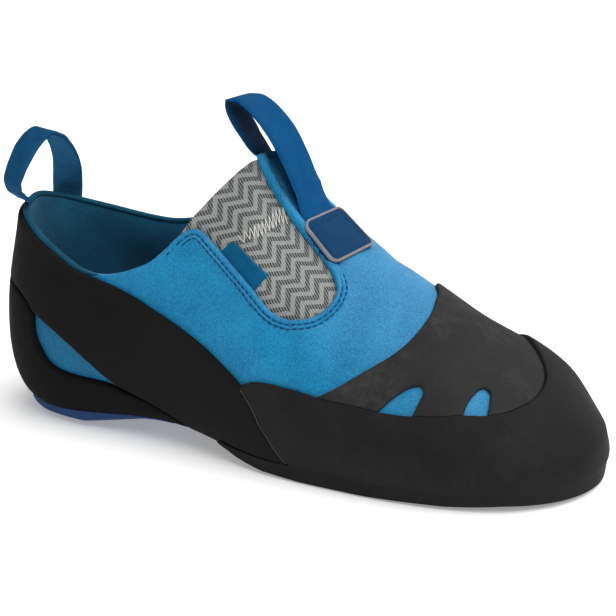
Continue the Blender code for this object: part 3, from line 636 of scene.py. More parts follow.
PAINTED_SHEEN_DARK = (0.032, 0.165, 0.340)  # painted sheen: nap that faces up is painted paler, as top light would show it
PAINTED_SHEEN_PALE = (0.062, 0.285, 0.510)
HEEL_PAINTED_SHADE = (-82, -68, 0.45, 0)  # painted shade: the nap is painted darker towards the heel's window, between these lengths, by this much
THROAT_NAVY_DARK = (0.004, 0.050, 0.125)  # dark navy of the throat under the strap, in two tones
THROAT_NAVY_PALE = (0.009, 0.095, 0.205)


def microfibre(name, shade, light):
    """Suede-like nap: cloudy brushed patches over short fibres, with painted shade towards the heel,
    painted sheen where it faces up, and dark navy at the throat.
    """
    look = Look(name, Roughness=0.5, Sheen_Weight=0.02, Sheen_Roughness=0.4, Specular_IOR_Level=0.16)
    brushed = look.noise(14, 4, 0.6)
    fibre = look.noise(0.7, 3, 0.75)
    lie = look.span(look.blend(brushed, 0.74, fibre), 0.40, 0.60)
    nap = look.mix(lie, shade, light)
    length = look.parts(look.place())[0]
    # Painted shade: the nap darkens towards the heel's window.
    heel = look.span(length, *HEEL_PAINTED_SHADE)
    nap = look.mix(heel, nap, tuple(0.25 * c for c in shade))
    # Painted sheen: where the nap faces up it is mixed towards a paler tone.
    facing_up = look.parts(look.node("ShaderNodeTexCoord").outputs["Normal"])[2]
    nap = look.mix(look.span(facing_up, 0.35, 0.8, 0, 0.6), nap, look.mix(lie, PAINTED_SHEEN_DARK, PAINTED_SHEEN_PALE))
    # The throat under the strap is coloured dark navy where the point attribute says so.
    throat_navy = look.node("ShaderNodeAttribute", attribute_name="throat_navy").outputs["Fac"]
    look.colour(look.mix(throat_navy, nap, look.mix(fibre, THROAT_NAVY_DARK, THROAT_NAVY_PALE)))
    grain = look.bump(look.noise(1.3, 3, 0.6), 0.12)
    look.bump(fibre, 0.24, grain)
    return look.material


DUST_AND_HIGHLIGHT = (0.110, 0.108, 0.104)  # pale smudges: dust, and painted highlight on wrinkles


def rubber(name, dark, light, gloss=0.06, rough=0.68, dust_and_highlight=0.0):
    """Matte rubber with a dusty bloom, pale smudges of dust and painted highlight, and a fine moulded
    grain.
    """
    look = Look(name, Specular_IOR_Level=gloss)
    bloom = look.noise(24, 5, 0.62)
    speck = look.noise(0.9, 2, 0.6)
    base = look.mix(look.span(look.blend(bloom, 0.3, speck), 0.34, 0.66), dark, light)
    patches = look.span(look.noise(17, 2, 0.5), 0.48, 0.68)
    streaks = look.span(look.noise(5, 5, 0.7), 0.4, 0.7)
    # Pale smudges that stand for dust and for painted highlight.
    dust_and_highlight_mask = look.math("MULTIPLY", patches, streaks)
    look.colour(look.mix(look.math("MULTIPLY", dust_and_highlight_mask, dust_and_highlight), base, DUST_AND_HIGHLIGHT))
    look.rough(look.span(bloom, 0.3, 0.7, rough - 0.07, rough + 0.10))
    grain = look.bump(look.noise(3.0, 3, 0.55), 0.07)
    look.bump(speck, 0.05, grain)
    return look.material


def lining(name, shade, light):
    """Close knit cloth on the inside, with painted shade low down and towards the heel."""
    look = Look(name, Roughness=0.9, Sheen_Weight=0.12, Sheen_Roughness=0.5, Specular_IOR_Level=0.15)
    spots = look.node("ShaderNodeTexVoronoi", {"Vector": look.place(), "Scale": 1.0}).outputs["Distance"]
    cloudy = look.noise(18, 4, 0.6)
    cloth = look.mix(look.span(look.blend(cloudy, 0.15, spots), 0.3, 0.68), shade, light)
    length, _, height = look.parts(look.place())
    # Painted shade: the cloth is darkened low down and towards the heel, deep in the shoe.
    low = look.span(height, 72, 54, 0, 0.45)
    heel = look.span(length, -106, -121, 0, 0.45)
    look.colour(look.mix(look.math("MAXIMUM", low, heel), cloth, tuple(0.2 * c for c in shade)))
    look.bump(spots, 0.10)
    return look.material


def webbing(name, shade, light, rib=1.05, warp=1.5, depth=0.16):
    """Woven tape: ribs across it, crossed by the warp."""
    look = Look(name, Roughness=0.75, Specular_IOR_Level=0.04)
    across, along = look.cloth()
    row = look.math("FLOOR", look.math("DIVIDE", along, rib))
    shifted = look.math("ADD", across, look.math("MULTIPLY", row, warp / 2))
    weave = look.math("MULTIPLY", look.wave(along, rib), look.span(look.wave(shifted, warp), 0, 1, 0.4, 1))
    worn = look.noise(8, 4, 0.6)
    look.colour(look.mix(look.span(look.blend(worn, 0.35, weave), 0.2, 0.72), shade, light))
    look.bump(weave, depth)
    return look.material


def herringbone(name, dark, grey, pale):
    """Knitted elastic: zigzag bands of plain pale stitches and of dark slanting ones."""
    turn, climb, rib, lean = 10.5, 4.9, 1.0, 0.37
    look = Look(name, Roughness=0.9, Sheen_Weight=0.08, Specular_IOR_Level=0.15)
    across, along = look.cloth()
    wander = look.math("MULTIPLY", look.math("SUBTRACT", look.noise(1.2, 2), 0.5), 1.3)
    zigzag = look.math("MULTIPLY", look.wave(across, turn), climb)
    band = look.wave(look.math("ADD", look.math("ADD", along, zigzag), wander), climb)
    plain = look.span(band, 0.44, 0.60)
    slant = look.math("SUBTRACT", across, look.math("MULTIPLY", along, lean))
    uneven = look.math("ADD", slant, look.math("MULTIPLY", wander, 0.2))
    stroke = look.span(look.wave(uneven, rib), 0.25, 0.8)
    loops = look.wave(along, 0.85)
    dim = look.mix(stroke, dark, grey)
    lit = look.mix(look.span(look.blend(stroke, 0.5, loops), 0.1, 0.7), grey, pale)
    look.colour(look.mix(plain, dim, lit))
    look.bump(look.blend(look.blend(stroke, 0.3, loops), 0.35, plain), 0.30)
    return look.material


def thread(name, colour, pale):
    """Twisted sewing thread."""
    look = Look(name, Roughness=0.6, Specular_IOR_Level=0.08)
    look.colour(look.mix(look.noise(0.4, 2), colour, pale))
    look.bump(look.noise(0.25, 2), 0.05)
    return look.material


def moulded(name, shade, light, rough):
    """Soft moulded rubber of the badge."""
    look = Look(name, Specular_IOR_Level=0.06)
    look.colour(look.mix(look.noise(5, 3), shade, light))
    look.rough(look.span(look.noise(2, 2), 0.3, 0.7, rough - 0.06, rough + 0.08))
    look.bump(look.noise(0.5, 2), 0.05)
    return look.material


BLUE = microfibre("upper_microfibre", (0.004, 0.155, 0.336), (0.013, 0.280, 0.532))
INSIDE = lining("lining_cloth", (0.016, 0.130, 0.240), (0.030, 0.250, 0.430))
FOOTBED = lining("footbed_cloth", (0.012, 0.035, 0.060), (0.022, 0.060, 0.100))
# Painted shade: the tape is coloured darker than the lining, for the shade along the collar's edge.
BINDING = webbing("binding_tape", (0.006, 0.050, 0.090), (0.016, 0.100, 0.165), 0.8, 1.0)
KNIT = herringbone("gore_elastic", (0.038, 0.041, 0.040), (0.235, 0.247, 0.238), (0.340, 0.354, 0.338))
SLING_RUBBER = rubber("sling_rubber", (0.0065, 0.0065, 0.0065), (0.0105, 0.0105, 0.0105))
CUP_RUBBER = rubber("cup_rubber", (0.0055, 0.0055, 0.0055), (0.0088, 0.0088, 0.0088), gloss=0.03)
RAND_RUBBER = rubber("rand_rubber", (0.0115, 0.0115, 0.0115), (0.0185, 0.0185, 0.0185), dust_and_highlight=0.06)
PATCH_RUBBER = rubber("patch_rubber", (0.0195, 0.0195, 0.0195), (0.0310, 0.0310, 0.0310), dust_and_highlight=0.30)
SOLE_RUBBER = rubber("sole_rubber", (0.0125, 0.0125, 0.0125), (0.0195, 0.0195, 0.0195))
# Painted highlight: pale grey rubber for the line of light along the rand's rear edge.
SEAM_HIGHLIGHT_RUBBER = rubber("seam_painted_highlight", (0.0550, 0.0550, 0.0550), (0.0850, 0.0850, 0.0850))
HEEL_RUBBER = rubber("heel_rubber", (0.0185, 0.0490, 0.1350), (0.0290, 0.0750, 0.1850), gloss=0.12)
STRAP = webbing("strap_webbing", (0.002, 0.051, 0.146), (0.004, 0.081, 0.220), depth=0.10)
# Painted shade: the inside faces of the instep loop are coloured near black.
STRAP_INSIDE_SHADED = webbing("strap_inside_painted_shade", (0.002, 0.018, 0.050), (0.004, 0.040, 0.100), depth=0.10)
LOOP = webbing("loop_webbing", (0.004, 0.045, 0.115), (0.010, 0.085, 0.190), 0.9, 1.3, 0.12)
# Painted light: the inside faces of the heel loop are coloured paler, as if lit.
LOOP_INSIDE_LIT = webbing("loop_inside_painted_light", (0.014, 0.090, 0.200), (0.032, 0.170, 0.340), 0.9, 1.3, 0.12)
LABEL = webbing("label_weave", (0.003, 0.075, 0.170), (0.006, 0.120, 0.250), 0.5, 0.6, 0.06)
BADGE_FACE = moulded("badge_face", (0.002, 0.032, 0.092), (0.003, 0.046, 0.120), 0.55)
BADGE_RIM = moulded("badge_rim", (0.180, 0.165, 0.165), (0.290, 0.265, 0.260), 0.5)
BLUE_THREAD = thread("blue_thread", (0.003, 0.050, 0.130), (0.006, 0.080, 0.190))
PALE_THREAD = thread("pale_thread", (0.480, 0.480, 0.440), (0.700, 0.700, 0.660))
# Painted highlight: paler blue along one side of the label, where its folded edge catches light.
LABEL_HIGHLIGHT_EDGE = thread("label_painted_highlight", (0.020, 0.120, 0.220), (0.040, 0.180, 0.300))


# Upper with its lining, and the gore let into it

HOLE = edge(GORE_HOLE, 0.7)
SEW_ROWS = (2.2, 3.9)  # distance of the two seams from the edge of the gore
SEW_SPAN = (2.2, 0.5)  # length of a stitch, and the gap to the next
SEW_THREAD = (0.30, 0.22)  # radius of the thread, and how far it dips into the cloth
SEW_LIFT = -0.12
ROLL = 1.9  # half the breadth of the rolled edge beside the throat
ROLL_HIGH = 1.5
ROLL_END = (7.86, 0.79)  # the roll has died away here, past the badge
ROLL_STOP = np.linalg.norm((HOLE - ROLL_END) * PLAIN, axis=1).argmin()
ROLL_FADE = 16  # points of the edge over which the roll turns into the sewn hem
ROLL_GROOVE = [Ridge(-0.45, 4.4, 0.8)]
HEM_RIDGES = [Ridge(0.25, 3.05, 0.5), Ridge(0.15, 1.2, 0.6), *(Ridge(-0.38, row, 0.36) for row in SEW_ROWS)]
UPPER_EDGE = (1.3, 0.35)  # radius of the upper's edge, and the share of its thickness left at the foot
COLLAR_CURL = [Ridge(0.5, 1.0, 0.9), Ridge(-0.4, 2.4, 0.45)]

# Soft creases: two ends as station and share, depth, or a ridge if below nothing, and half breadth
Crease = namedtuple("Crease", "start end depth broad")
CREASES = [
    Crease((8.6, 0.98), (8.2, 0.62), 0.7, 5),  # trough behind the toe patch
    Crease((8.95, 0.96), (8.6, 0.70), -0.5, 4),  # ridge before it
    Crease((5.6, 0.50), (7.1, 0.42), 0.5, 5),  # below the gore
    Crease((4.3, 0.86), (4.9, 0.55), 0.5, 5),  # behind the gore
    Crease((17.6, 0.95), (17.9, 0.60), 0.7, 5),  # inner instep
    Crease((19.5, 0.80), (20.3, 0.45), 0.6, 6),  # inner throat
    Crease((21.5, 0.90), (22.2, 0.50), 0.5, 6),  # inner waist
]


def creased(point):
    """Depth of the creases at points of the last."""
    total = np.zeros(len(point))
    for crease in CREASES:
        line = np.array([crease.start, crease.end])
        line = line[0] + (line[1] - line[0]) * np.linspace(0, 1, 24)[:, None]
        far, index = nearest(point, surface(*line.T))
        fade = np.sin(np.pi * (index + 0.5) / len(line))
        total -= crease.depth * fade * np.exp(-(far / crease.broad) ** 2)
    return total


# Turned edge of the collar behind the gore
COLLAR_HEM = surface(*edge([(4.7, 1), (4.35, 1)], 0.4).T)


def upper_relief(laid):
    """Height of the outside of the upper over the last."""
    far, index = nearest(laid.point, surface(*HOLE.T))
    roll = np.clip((ROLL_STOP - index) / ROLL_FADE + 0.5, 0, 1)
    tube_over = np.sqrt(np.clip(1 - ((far - ROLL) / ROLL) ** 2, 0, 1))
    rolled = ROLL_HIGH * tube_over + ridges(far, ROLL_GROOVE)
    edge_drop = -WALL * (1 - rounded(laid.gap, *UPPER_EDGE))
    collar, _ = nearest(laid.point, COLLAR_HEM)
    sewn = ridges(far, HEM_RIDGES)
    curl = ridges(collar, COLLAR_CURL)
    return edge_drop + roll * rolled + (1 - roll) * sewn + curl + creased(laid.point)


# The throat's edge over the collar line, by station
THROAT_CROWN = [(6.12, 2.6), (6.6, 1.3), (7, 0)]
CROWN_FOOT = 0.75  # share from which the crown starts to rise


def crowned(station, share, rows):
    """Shift of a top edge that stands above the collar line."""
    one = np.ones(len(station))
    up = unit(surface(station, one) - surface(station, 0.96 * one))
    rows = [(rows[0][0] - 0.001, 0), *rows, (rows[-1][0] + 0.001, 0)]
    rising = np.clip((share - CROWN_FOOT) / (1 - CROWN_FOOT), 0, 1) ** 1.5
    return up * (read(rows, station) * rising)[:, None]


# The dark navy of the throat under the strap: where it starts, and stops on the outer and the inner side
THROAT_NAVY_STATIONS = (6.1, 7.5, 7.4)
THROAT_NAVY_SHARES = (0.84, 0.92)  # its lower edge on the outer and the inner side
THROAT_NAVY_SOFT = 0.04  # stations over which it fades
THROAT_NAVY_OFF = 2 * ROLL + 0.6  # millimetres it keeps from the opening of the gore


def throat_navy_share(laid):
    """How far each point of the upper takes the dark navy of the throat, from 0 to 1."""
    s, v = laid.place.T
    inner = s > LAST
    far, _ = nearest(laid.point, surface(*HOLE.T))
    folded = np.where(inner, ROUND - s, s)
    stop = np.where(inner, THROAT_NAVY_STATIONS[2], THROAT_NAVY_STATIONS[1])
    along = np.minimum(folded - THROAT_NAVY_STATIONS[0], stop - folded) / THROAT_NAVY_SOFT
    up = (v - np.where(inner, THROAT_NAVY_SHARES[1], THROAT_NAVY_SHARES[0])) / (THROAT_NAVY_SOFT * PLAIN[0] / PLAIN[1])
    off = (far - THROAT_NAVY_OFF) / (THROAT_NAVY_SOFT * PLAIN[0])
    return np.clip(np.minimum(np.minimum(along, up), off), 0, 1)


# Rows of points that carry the roll and the seams, by distance from the edge of the gore
RELIEF_ROWS = (1.6, 1.9, 2.2, 2.5, 2.8, 3.15, 3.5, 3.8, 4.1, 4.4, 4.9, 5.6)


def between(*corners):
    """Straight edges from corner to corner."""
    return [list(pair) for pair in zip(corners, corners[1:])]


def build_upper():
    crest = [(t, 1) for t in (ROUND - THROAT, LAST + 1, LAST - 1, THROAT)]
    outline = ring(*between((0, 0), (ROUND, 0), (ROUND, 1), *crest, GORE_HOLE[0]), GORE_HOLE,
                   *between(GORE_HOLE[-1], (0, 1), (0, 0)))
    rows = [inset(HOLE, depth, closed=False)[2:-2] for depth in RELIEF_ROWS]
    laid = lay(outline, extra=[r[r[:, 1] < 0.99] for r in rows])
    raised = laid.point + crowned(*laid.place.T, THROAT_CROWN)
    outer = raised + upper_relief(laid)[:, None] * laid.normal
    inner = raised - WALL * laid.normal
    points, skin = shell(outer, inner, laid.faces)
    count = len(laid.faces)
    looks = [0] * count + [1] * count + [0] * (len(skin) - 2 * count)
    made = piece("upper", points, skin, [BLUE, INSIDE], looks, node="upper", slot="upper_microfibre")
    mask = made.data.attributes.new("throat_navy", "FLOAT", "POINT")
    mask.data.foreach_set("value", np.tile(throat_navy_share(laid), 2).astype(np.float32))


GORE_ACROSS = np.array((-0.37, -0.76, -0.54))  # directions of the knit
GORE_ALONG = np.array((0.735, 0.083, -0.673))
# The gore's top edge over the collar line, by station
GORE_CROWN = [(4.45, 0), (4.75, 0.5), (5.02, 2.2), (5.3, 2.5), (5.7, 2.0), (6.0, 1.3), (6.2, 1.0),
              (6.46, 1.0)]


GORE_BULGE = 0.9  # how far its middle stands out
GORE_ROUND = (0.8, 0.4)  # radius and foot of its edge
GORE_SOFT = 5.0  # millimetres over which the bulge rises


def build_gore():
    """The gore, and a tree to set its label on."""
    outline = ring(GORE_EDGE, [GORE_EDGE[-1], GORE_EDGE[0]])
    laid = lay(outline)
    above = [(GORE_HOLE[-1][0], 1.02), (GORE_HOLE[0][0], 1.02)]
    inside = within(laid.place * PLAIN, np.concatenate([HOLE, above]) * PLAIN)
    far, _ = nearest(laid.point, surface(*HOLE.T))
    lift = -WALL - GAP + np.where(inside, GORE_BULGE * (1 - np.exp(-far / GORE_SOFT)), 0)
    lift = lift - GORE * (1 - rounded(laid.gap, *GORE_ROUND))
    crown = crowned(*laid.place.T, GORE_CROWN)
    outer = laid.point + lift[:, None] * laid.normal + crown
    inner = laid.point + (-WALL - GAP - GORE) * laid.normal + crown
    points, skin = shell(outer, inner, laid.faces)
    cloth = np.stack([points @ GORE_ACROSS, points @ GORE_ALONG], 1)
    piece("stretch_gore", points, skin, [KNIT], cloth=cloth, node="stretch_gore", slot="gore_elastic")
    return BVHTree.FromPolygons([tuple(p) for p in outer], laid.faces.tolist())


# Rubber

RUBBER_EDGE = (1.3, 0.3)


def plain_edge(laid):
    """Radius of a rubber panel's edge and the share of its thickness left at its foot."""
    return RUBBER_EDGE


RUBBER_ROWS = (0.2, 0.5, 0.9, 1.5)  # rows of points along its edges
RUBBER_FOOT = 0.1  # its inner face over the last


def rubber_panel(name, outline, thick, look, slot, thicken=None, edge_of=plain_edge):
    """Rubber with rounded edges; its thickness and edge may vary over the panel."""
    laid = lay(outline, RUBBER_ROWS)
    height = thick + (thicken(laid) if thicken else 0)
    lift = GAP + height * rounded(laid.gap, *edge_of(laid))
    outer = laid.point + lift[:, None] * laid.normal
    points, skin = shell(outer, laid.point + RUBBER_FOOT * laid.normal, laid.faces)
    piece(name, points, skin, [look], node=name, slot=slot)


RAND_LINE = edge(RAND_TOP, 0.5)
# Height of the rand's top edge against the rest of it: level with the patch, proud round the toe
RAND_EDGE = [(5.5, 0), (7.3, 0), (7.7, -0.7), (10.6, -0.7), (11.6, -0.2), (13, 0), (14.8, 0.2),
             (15.8, 0.7), (16.6, 0.2), (17.4, -0.5), (18.2, -0.7), (18.8, 0), (20.5, 0)]


# 1 where the patch runs on level from the rand, 0 where the rand ends in a rounded edge, by station
BUTTED = [(7.4, 0), (7.8, 1), (10.6, 1), (11.4, 0), (16.4, 0), (17, 1), (18.3, 1), (18.7, 0)]
ROUND_TOE = [(11, 0), (12, 1), (16, 1), (17, 0)]  # 1 round the toe, where that edge is crisp
PATCH_GROOVE = [(10.8, 0), (11.8, 0.4), (16, 0.4), (16.8, 0)]  # the patch is thinner beside the rand


def rand_top(stations, gap=0.0015):
    """Places just above the top edge of the rand."""
    stations = np.asarray(stations, float)
    return np.stack([stations, np.interp(stations, *RAND_LINE.T) + gap], 1)


def low_edge(start, stop):
    """The patch's edge along the rand."""
    return rand_top(np.linspace(start, stop, max(3, math.ceil(abs(stop - start) * 12)))).tolist()


def rand_height(laid):
    """How much thicker the rand is towards its top edge."""
    far, index = nearest(laid.point, surface(*RAND_LINE.T))
    change = read(RAND_EDGE, RAND_LINE[index, 0])
    return change * np.exp(-(far / np.where(change > 0, 12, 5)) ** 2)


def build_rand():
    ahead = [(t + 0.02, v) for t, v in SEAM]
    top = [ahead[0]] + RAND_TOP[1:-1] + [(ROUND - ahead[0][0], ahead[0][1])]
    outline = ring(ahead[::-1], top, mirrored(ahead[::-1]), [(ROUND - ahead[-1][0], 0), ahead[-1]])
    rubber_panel("toe_rand", outline, RUBBER, RAND_RUBBER, "rand_rubber", rand_height, rand_edge)


def rand_edge(laid):
    """Radius and foot of the rand's edge."""
    even = read(BUTTED, laid.place[:, 0])
    toe = read(ROUND_TOE, laid.place[:, 0])
    return 1.3 - 1.0 * even - 0.4 * toe, 0.3 + 0.55 * even + 0.3 * toe


def patch_edge(laid):
    """The patch is rounded at its rear edge and windows, and butts against the rand."""
    far, _ = nearest(laid.point, surface(*RAND_LINE.T))
    beside = far < laid.gap + 0.7
    foot = 0.5 + 0.3 * read(BUTTED, laid.place[:, 0])
    return np.where(beside, 0.3, 1.2), np.where(beside, foot, 0.4)


def patch_height(laid):
    """The patch thins towards the groove round the toe and takes up a few soft dents."""
    far, index = nearest(laid.point, surface(*RAND_LINE.T))
    groove = read(PATCH_GROOVE, RAND_LINE[index, 0])
    return -groove * np.exp(-(far / 1.4) ** 2) + 0.5 * creased(laid.point)


def build_patch():
    start, stop = PATCH_REAR[0][0], PATCH_REAR_IN[-1][0]
    foot = {t: tuple(rand_top([t])[0]) for t in (start, *WINDOW_FEET, stop)}
    a, b, c, d = WINDOW_FEET
    rear = [foot[a], *WINDOW_REAR, foot[b]]
    front = [foot[c], *WINDOW_FRONT, foot[d]]
    rear_edge = [*PATCH_REAR[:0:-1], foot[start]]
    inner_edge = [foot[stop], *PATCH_REAR_IN[-2::-1]]
    crest = between(PATCH_REAR_IN[0], (LAST + 1, 1), (LAST - 1, 1), PATCH_REAR[-1])
    outline = ring(low_edge(start, a), rear, low_edge(b, c), front, low_edge(d, stop), inner_edge,
                   *crest, rear_edge)
    rubber_panel("toe_patch", outline, PATCH, PATCH_RUBBER, "patch_rubber", patch_height, patch_edge)


def build_sling():
    front = SLING_FRONT + SEAM[1:]
    under = between(SEAM[-1], (SEAM[-1][0], -1), (SLING_UNDER, -1), SLING_FOOT[-1])
    foot = SLING_FOOT[::-1] + turned(SLING_FOOT[::-1])[1:]
    side = SLING_FRONT[0][0]
    rim = [(t, SLING_RIM) for t in (-side, -2, -1, 0, 1, 2, side)]
    outline = ring(front, *under, foot, *[turned(u) for u in reversed(under)], turned(front), rim)
    rubber_panel("heel_sling", outline, RUBBER, SLING_RUBBER, "sling_rubber")


def build_cup():
    top = CUP_TOP[::-1] + turned(CUP_TOP[::-1])[1:]
    outline = ring(top, [top[-1], top[0]])
    rubber_panel("heel_cup", outline, RUBBER, CUP_RUBBER, "cup_rubber")


# Soles and insole, laid as rungs across the bottom

def plate(name, stations, shares, top_of, bottom_of, look, slot):
    """A plate across the bottom from side to side, between a top and a bottom worked out rung by rung."""
    across = [(0, v) for v in shares[::-1]] + [(1, v) for v in shares[1:]]
    tops = []
    lows = []
    for side, share in across:
        at = ROUND - stations if side else stations
        tops.append(top_of(at, np.full(len(at), share)))
        lows.append(bottom_of(tops[-1], stations, share))
    tops, lows = np.array(tops), np.array(lows)
    wide, long = tops.shape[:2]
    index = np.arange(wide * long).reshape(wide, long)
    a, b, c, d = (q.ravel() for q in (index[:-1, :-1], index[:-1, 1:], index[1:, 1:], index[1:, :-1]))
    faces = np.concatenate([np.stack([a, b, c], 1), np.stack([a, c, d], 1)])
    top = tops.reshape(-1, 3)
    first, _, faces = weld(top, faces)
    points, skin = shell(top[first], lows.reshape(-1, 3)[first], faces)
    piece(name, points, skin, [look], sharp=38, node=name, slot=slot)


SOLE_REAR = 4.85  # station of the outsole's rear end
HEEL_FRONT = 3.8  # station of the heel sole's front end
SOLE_SHARES = (*np.linspace(-1, -0.1, 19), *np.linspace(-0.07, 0, 4), 0.015, 0.03, 0.045, EDGE_SHARE)
HEEL_SHARES = SOLE_SHARES[:-2]  # the heel sole reaches less far up
SOLE_GROOVE = [(SOLE_REAR, 0.5), (6.2, 0.4), (6.9, 0.02)]  # gap to the sling, by station
THIN_SOLE = 0.5  # thickness left at the outsole's rear end
THIN_HEEL = 0.3  # least thickness of the heel sole
SOLE_MIDDLE = (190, 0)  # a point well inside the outsole
SOLE_BEVEL = 1.2  # stations over which the rear end is cut back
# Rounded lower edge of the outsole by share, and how much of it by station
FRONT_RISE = [(-0.12, 0), (-0.05, 0.06), (0, 0.22), (0.03, 0.6), (EDGE_SHARE, 1.3)]
RISE_ALONG = [(4.85, 1), (6.2, 1), (7, 0.35), (8.4, 0.35), (9.3, 0.9), (11, 1.8), (12, 1.3), (13, 0.4)]
# How far the outsole's side leans in, by station
TOE_LEAN = [(10.5, 0), (11.5, 0.4), (12.5, 1.0), (13, 1.2)]
# The same edge of the heel sole, and the share of its thickness that is left towards the arch
HEEL_ALONG = [(0, 2.0), (0.8, 1.7), (1.6, 1.0), (3.8, 1.0)]
HEEL_RISE = [(-0.25, 0), (-0.1, 0.25), (0, 0.9), (0.03, 2.6)]
HEEL_THIN = [(3.1, 1), (3.8, 0.25)]


def under_rubber(station, share, gap):
    """Points a gap outside the rubber: off its side, or straight down below the foot."""
    lift = GAP + RUBBER + gap
    if share[0] > 0:
        return lifted(station, share, lift)
    return surface(station, share) - np.outer(lift, (0, 0, 1))


def sole_top(station, share):
    return under_rubber(station, share, read(SOLE_GROOVE, np.minimum(station, ROUND - station)))


def heel_top(station, share):
    return under_rubber(station, share, np.full(len(station), SOLE_GROOVE[-1][1]))


def spread(start, stop, step):
    """Numbers from start to stop, about a step apart."""
    return np.linspace(start, stop, max(2, round((stop - start) / step) + 1))


def inward(line):
    """Level directions that point from an edge of the sole to its inside."""
    ahead = np.gradient(line, axis=0)
    side = unit(np.stack([ahead[:, 1], -ahead[:, 0]], 1))
    outside = (side * (line - SOLE_MIDDLE)).sum(axis=1) > 0
    return np.where(outside[:, None], -side, side)


def sole_bottom(top, stations, share):
    """Underside of the outsole: the ground, a rounded lower edge, a cut rear end and a leaning toe."""
    place = top.copy()
    cut = np.clip((stations - stations[0]) / SOLE_BEVEL, 0, 1) ** 0.7
    low = read(GROUND, top[:, 0]) + read(FRONT_RISE, share) * read(RISE_ALONG, stations)
    thin = top[:, 2] - THIN_SOLE
    place[:, 2] = thin + cut * (low - thin)
    lean = read(TOE_LEAN, stations) * max(share, 0) / EDGE_SHARE
    place[:, :2] += lean[:, None] * inward(top[:, :2])
    return place


def heel_bottom(top, stations, share):
    """Underside of the heel sole, which thins out towards the arch."""
    place = top.copy()
    low = read(GROUND, top[:, 0]) + read(HEEL_RISE, share) * read(HEEL_ALONG, stations)
    thinned = top[:, 2] + (low - top[:, 2]) * read(HEEL_THIN, stations)
    place[:, 2] = np.minimum(thinned, top[:, 2] - THIN_HEEL)
    return place


def build_soles():
    front = np.concatenate([spread(SOLE_REAR, LAST - 1, 0.08), spread(LAST - 0.94, LAST, 0.06)])
    plate("outsole", front, SOLE_SHARES, sole_top, sole_bottom, SOLE_RUBBER, "sole_rubber")
    rear = np.concatenate([spread(0, 0.9, 0.06), spread(1, HEEL_FRONT, 0.08)])
    plate("heel_sole", rear, HEEL_SHARES, heel_top, heel_bottom, HEEL_RUBBER, "heel_rubber")


INSOLE_ENDS = (0.5, 12.6)  # stations
INSOLE_EDGE = -0.03  # share


def build_insole():
    shares = np.linspace(-1, INSOLE_EDGE, 24)
    stations = spread(*INSOLE_ENDS, 0.11)

    def top_of(station, share):
        return surface(station, share) + (0, 0, INSOLE)

    def bottom_of(top, stations, share):
        return top - (0, 0, INSOLE)

    plate("insole", stations, shares, top_of, bottom_of, FOOTBED, "insole_board")


# Webbing, binding, badge and label

def tube(sections):
    """Faces of a closed skin through rings of equal length."""
    rings, count = sections.shape[:2]
    index = np.arange(rings * count).reshape(rings, count)
    beside = np.roll(index, -1, axis=1)
    quads = np.stack([index[:-1], beside[:-1], beside[1:], index[1:]], -1).reshape(-1, 4)
    return sections.reshape(-1, 3), quads.tolist() + [index[0, ::-1].tolist(), index[-1].tolist()]


def tape_profile(thick, bulge=0.10, count=7):
    """Cross-section of webbing: across from -1 to 1, and height, walked round once."""
    flat = np.linspace(-1, 1, 2 * count + 1)[1:-1] * 1.08
    flat = np.clip(flat, -0.95, 0.95)
    top = [(a, thick / 2 + bulge * (1 - a * a)) for a in flat]
    low = [(a, -thick / 2 - bulge * (1 - a * a)) for a in flat[::-1]]
    return np.array([(-1, 0.0), *top, (1, 0.0), *low])


BAND_STEP = 0.8  # between the cross-sections of webbing


def build_band(name, rows, looks, slot, bend=None):
    """Flat webbing swept along its rows, with one look for each face. Bend settles it on what is below."""
    run = smooth(rows, BAND_STEP)
    line = run[:, :3]
    turn, tilt = np.radians(run[:, 3]), np.radians(run[:, 4])
    ahead = unit(np.gradient(line, axis=0))
    across = np.stack([np.cos(turn) * np.cos(tilt), np.sin(turn) * np.cos(tilt), np.sin(tilt)], 1)
    across = unit(across - (across * ahead).sum(axis=1)[:, None] * ahead)
    face = np.cross(across, ahead)
    length = run_length(line)
    profile = tape_profile(WEBBING)
    half = run[:, 5:6] / 2
    sections = (line[:, None] + across[:, None] * (half * profile[:, 0])[..., None]
                + face[:, None] * profile[:, 1][None, :, None])
    if bend is not None:
        sections = bend(sections, length)
    points, faces = tube(sections)
    cloth = np.stack([(half * profile[:, 0]).ravel(), np.repeat(length, len(profile))], 1)
    under = np.arange(len(profile)) > len(profile) // 2
    sides = np.tile(under, len(line) - 1).astype(int).tolist() + [0, 0]
    piece(name, points, faces, looks, sides, cloth=cloth, sharp=60, node=name, slot=slot)


BINDING_ENDS = (6.16, 3.1)  # stations of its ends, the second one past the heel
BINDING_TAPER = (0.25, 0.5)  # stations over which it thins out there
# Cross-section of the binding: out from the collar's edge, and up
BINDING_PROFILE = np.array([(0.35, -2.3), (0.55, -1.4), (0.5, -0.4), (0.15, 0.3), (-0.5, 0.6), (-1.2, 0.5),
                            (-1.75, 0.1), (-1.95, -0.6), (-1.8, -1.3), (-1.2, -1.6), (-0.6, -2.0)])


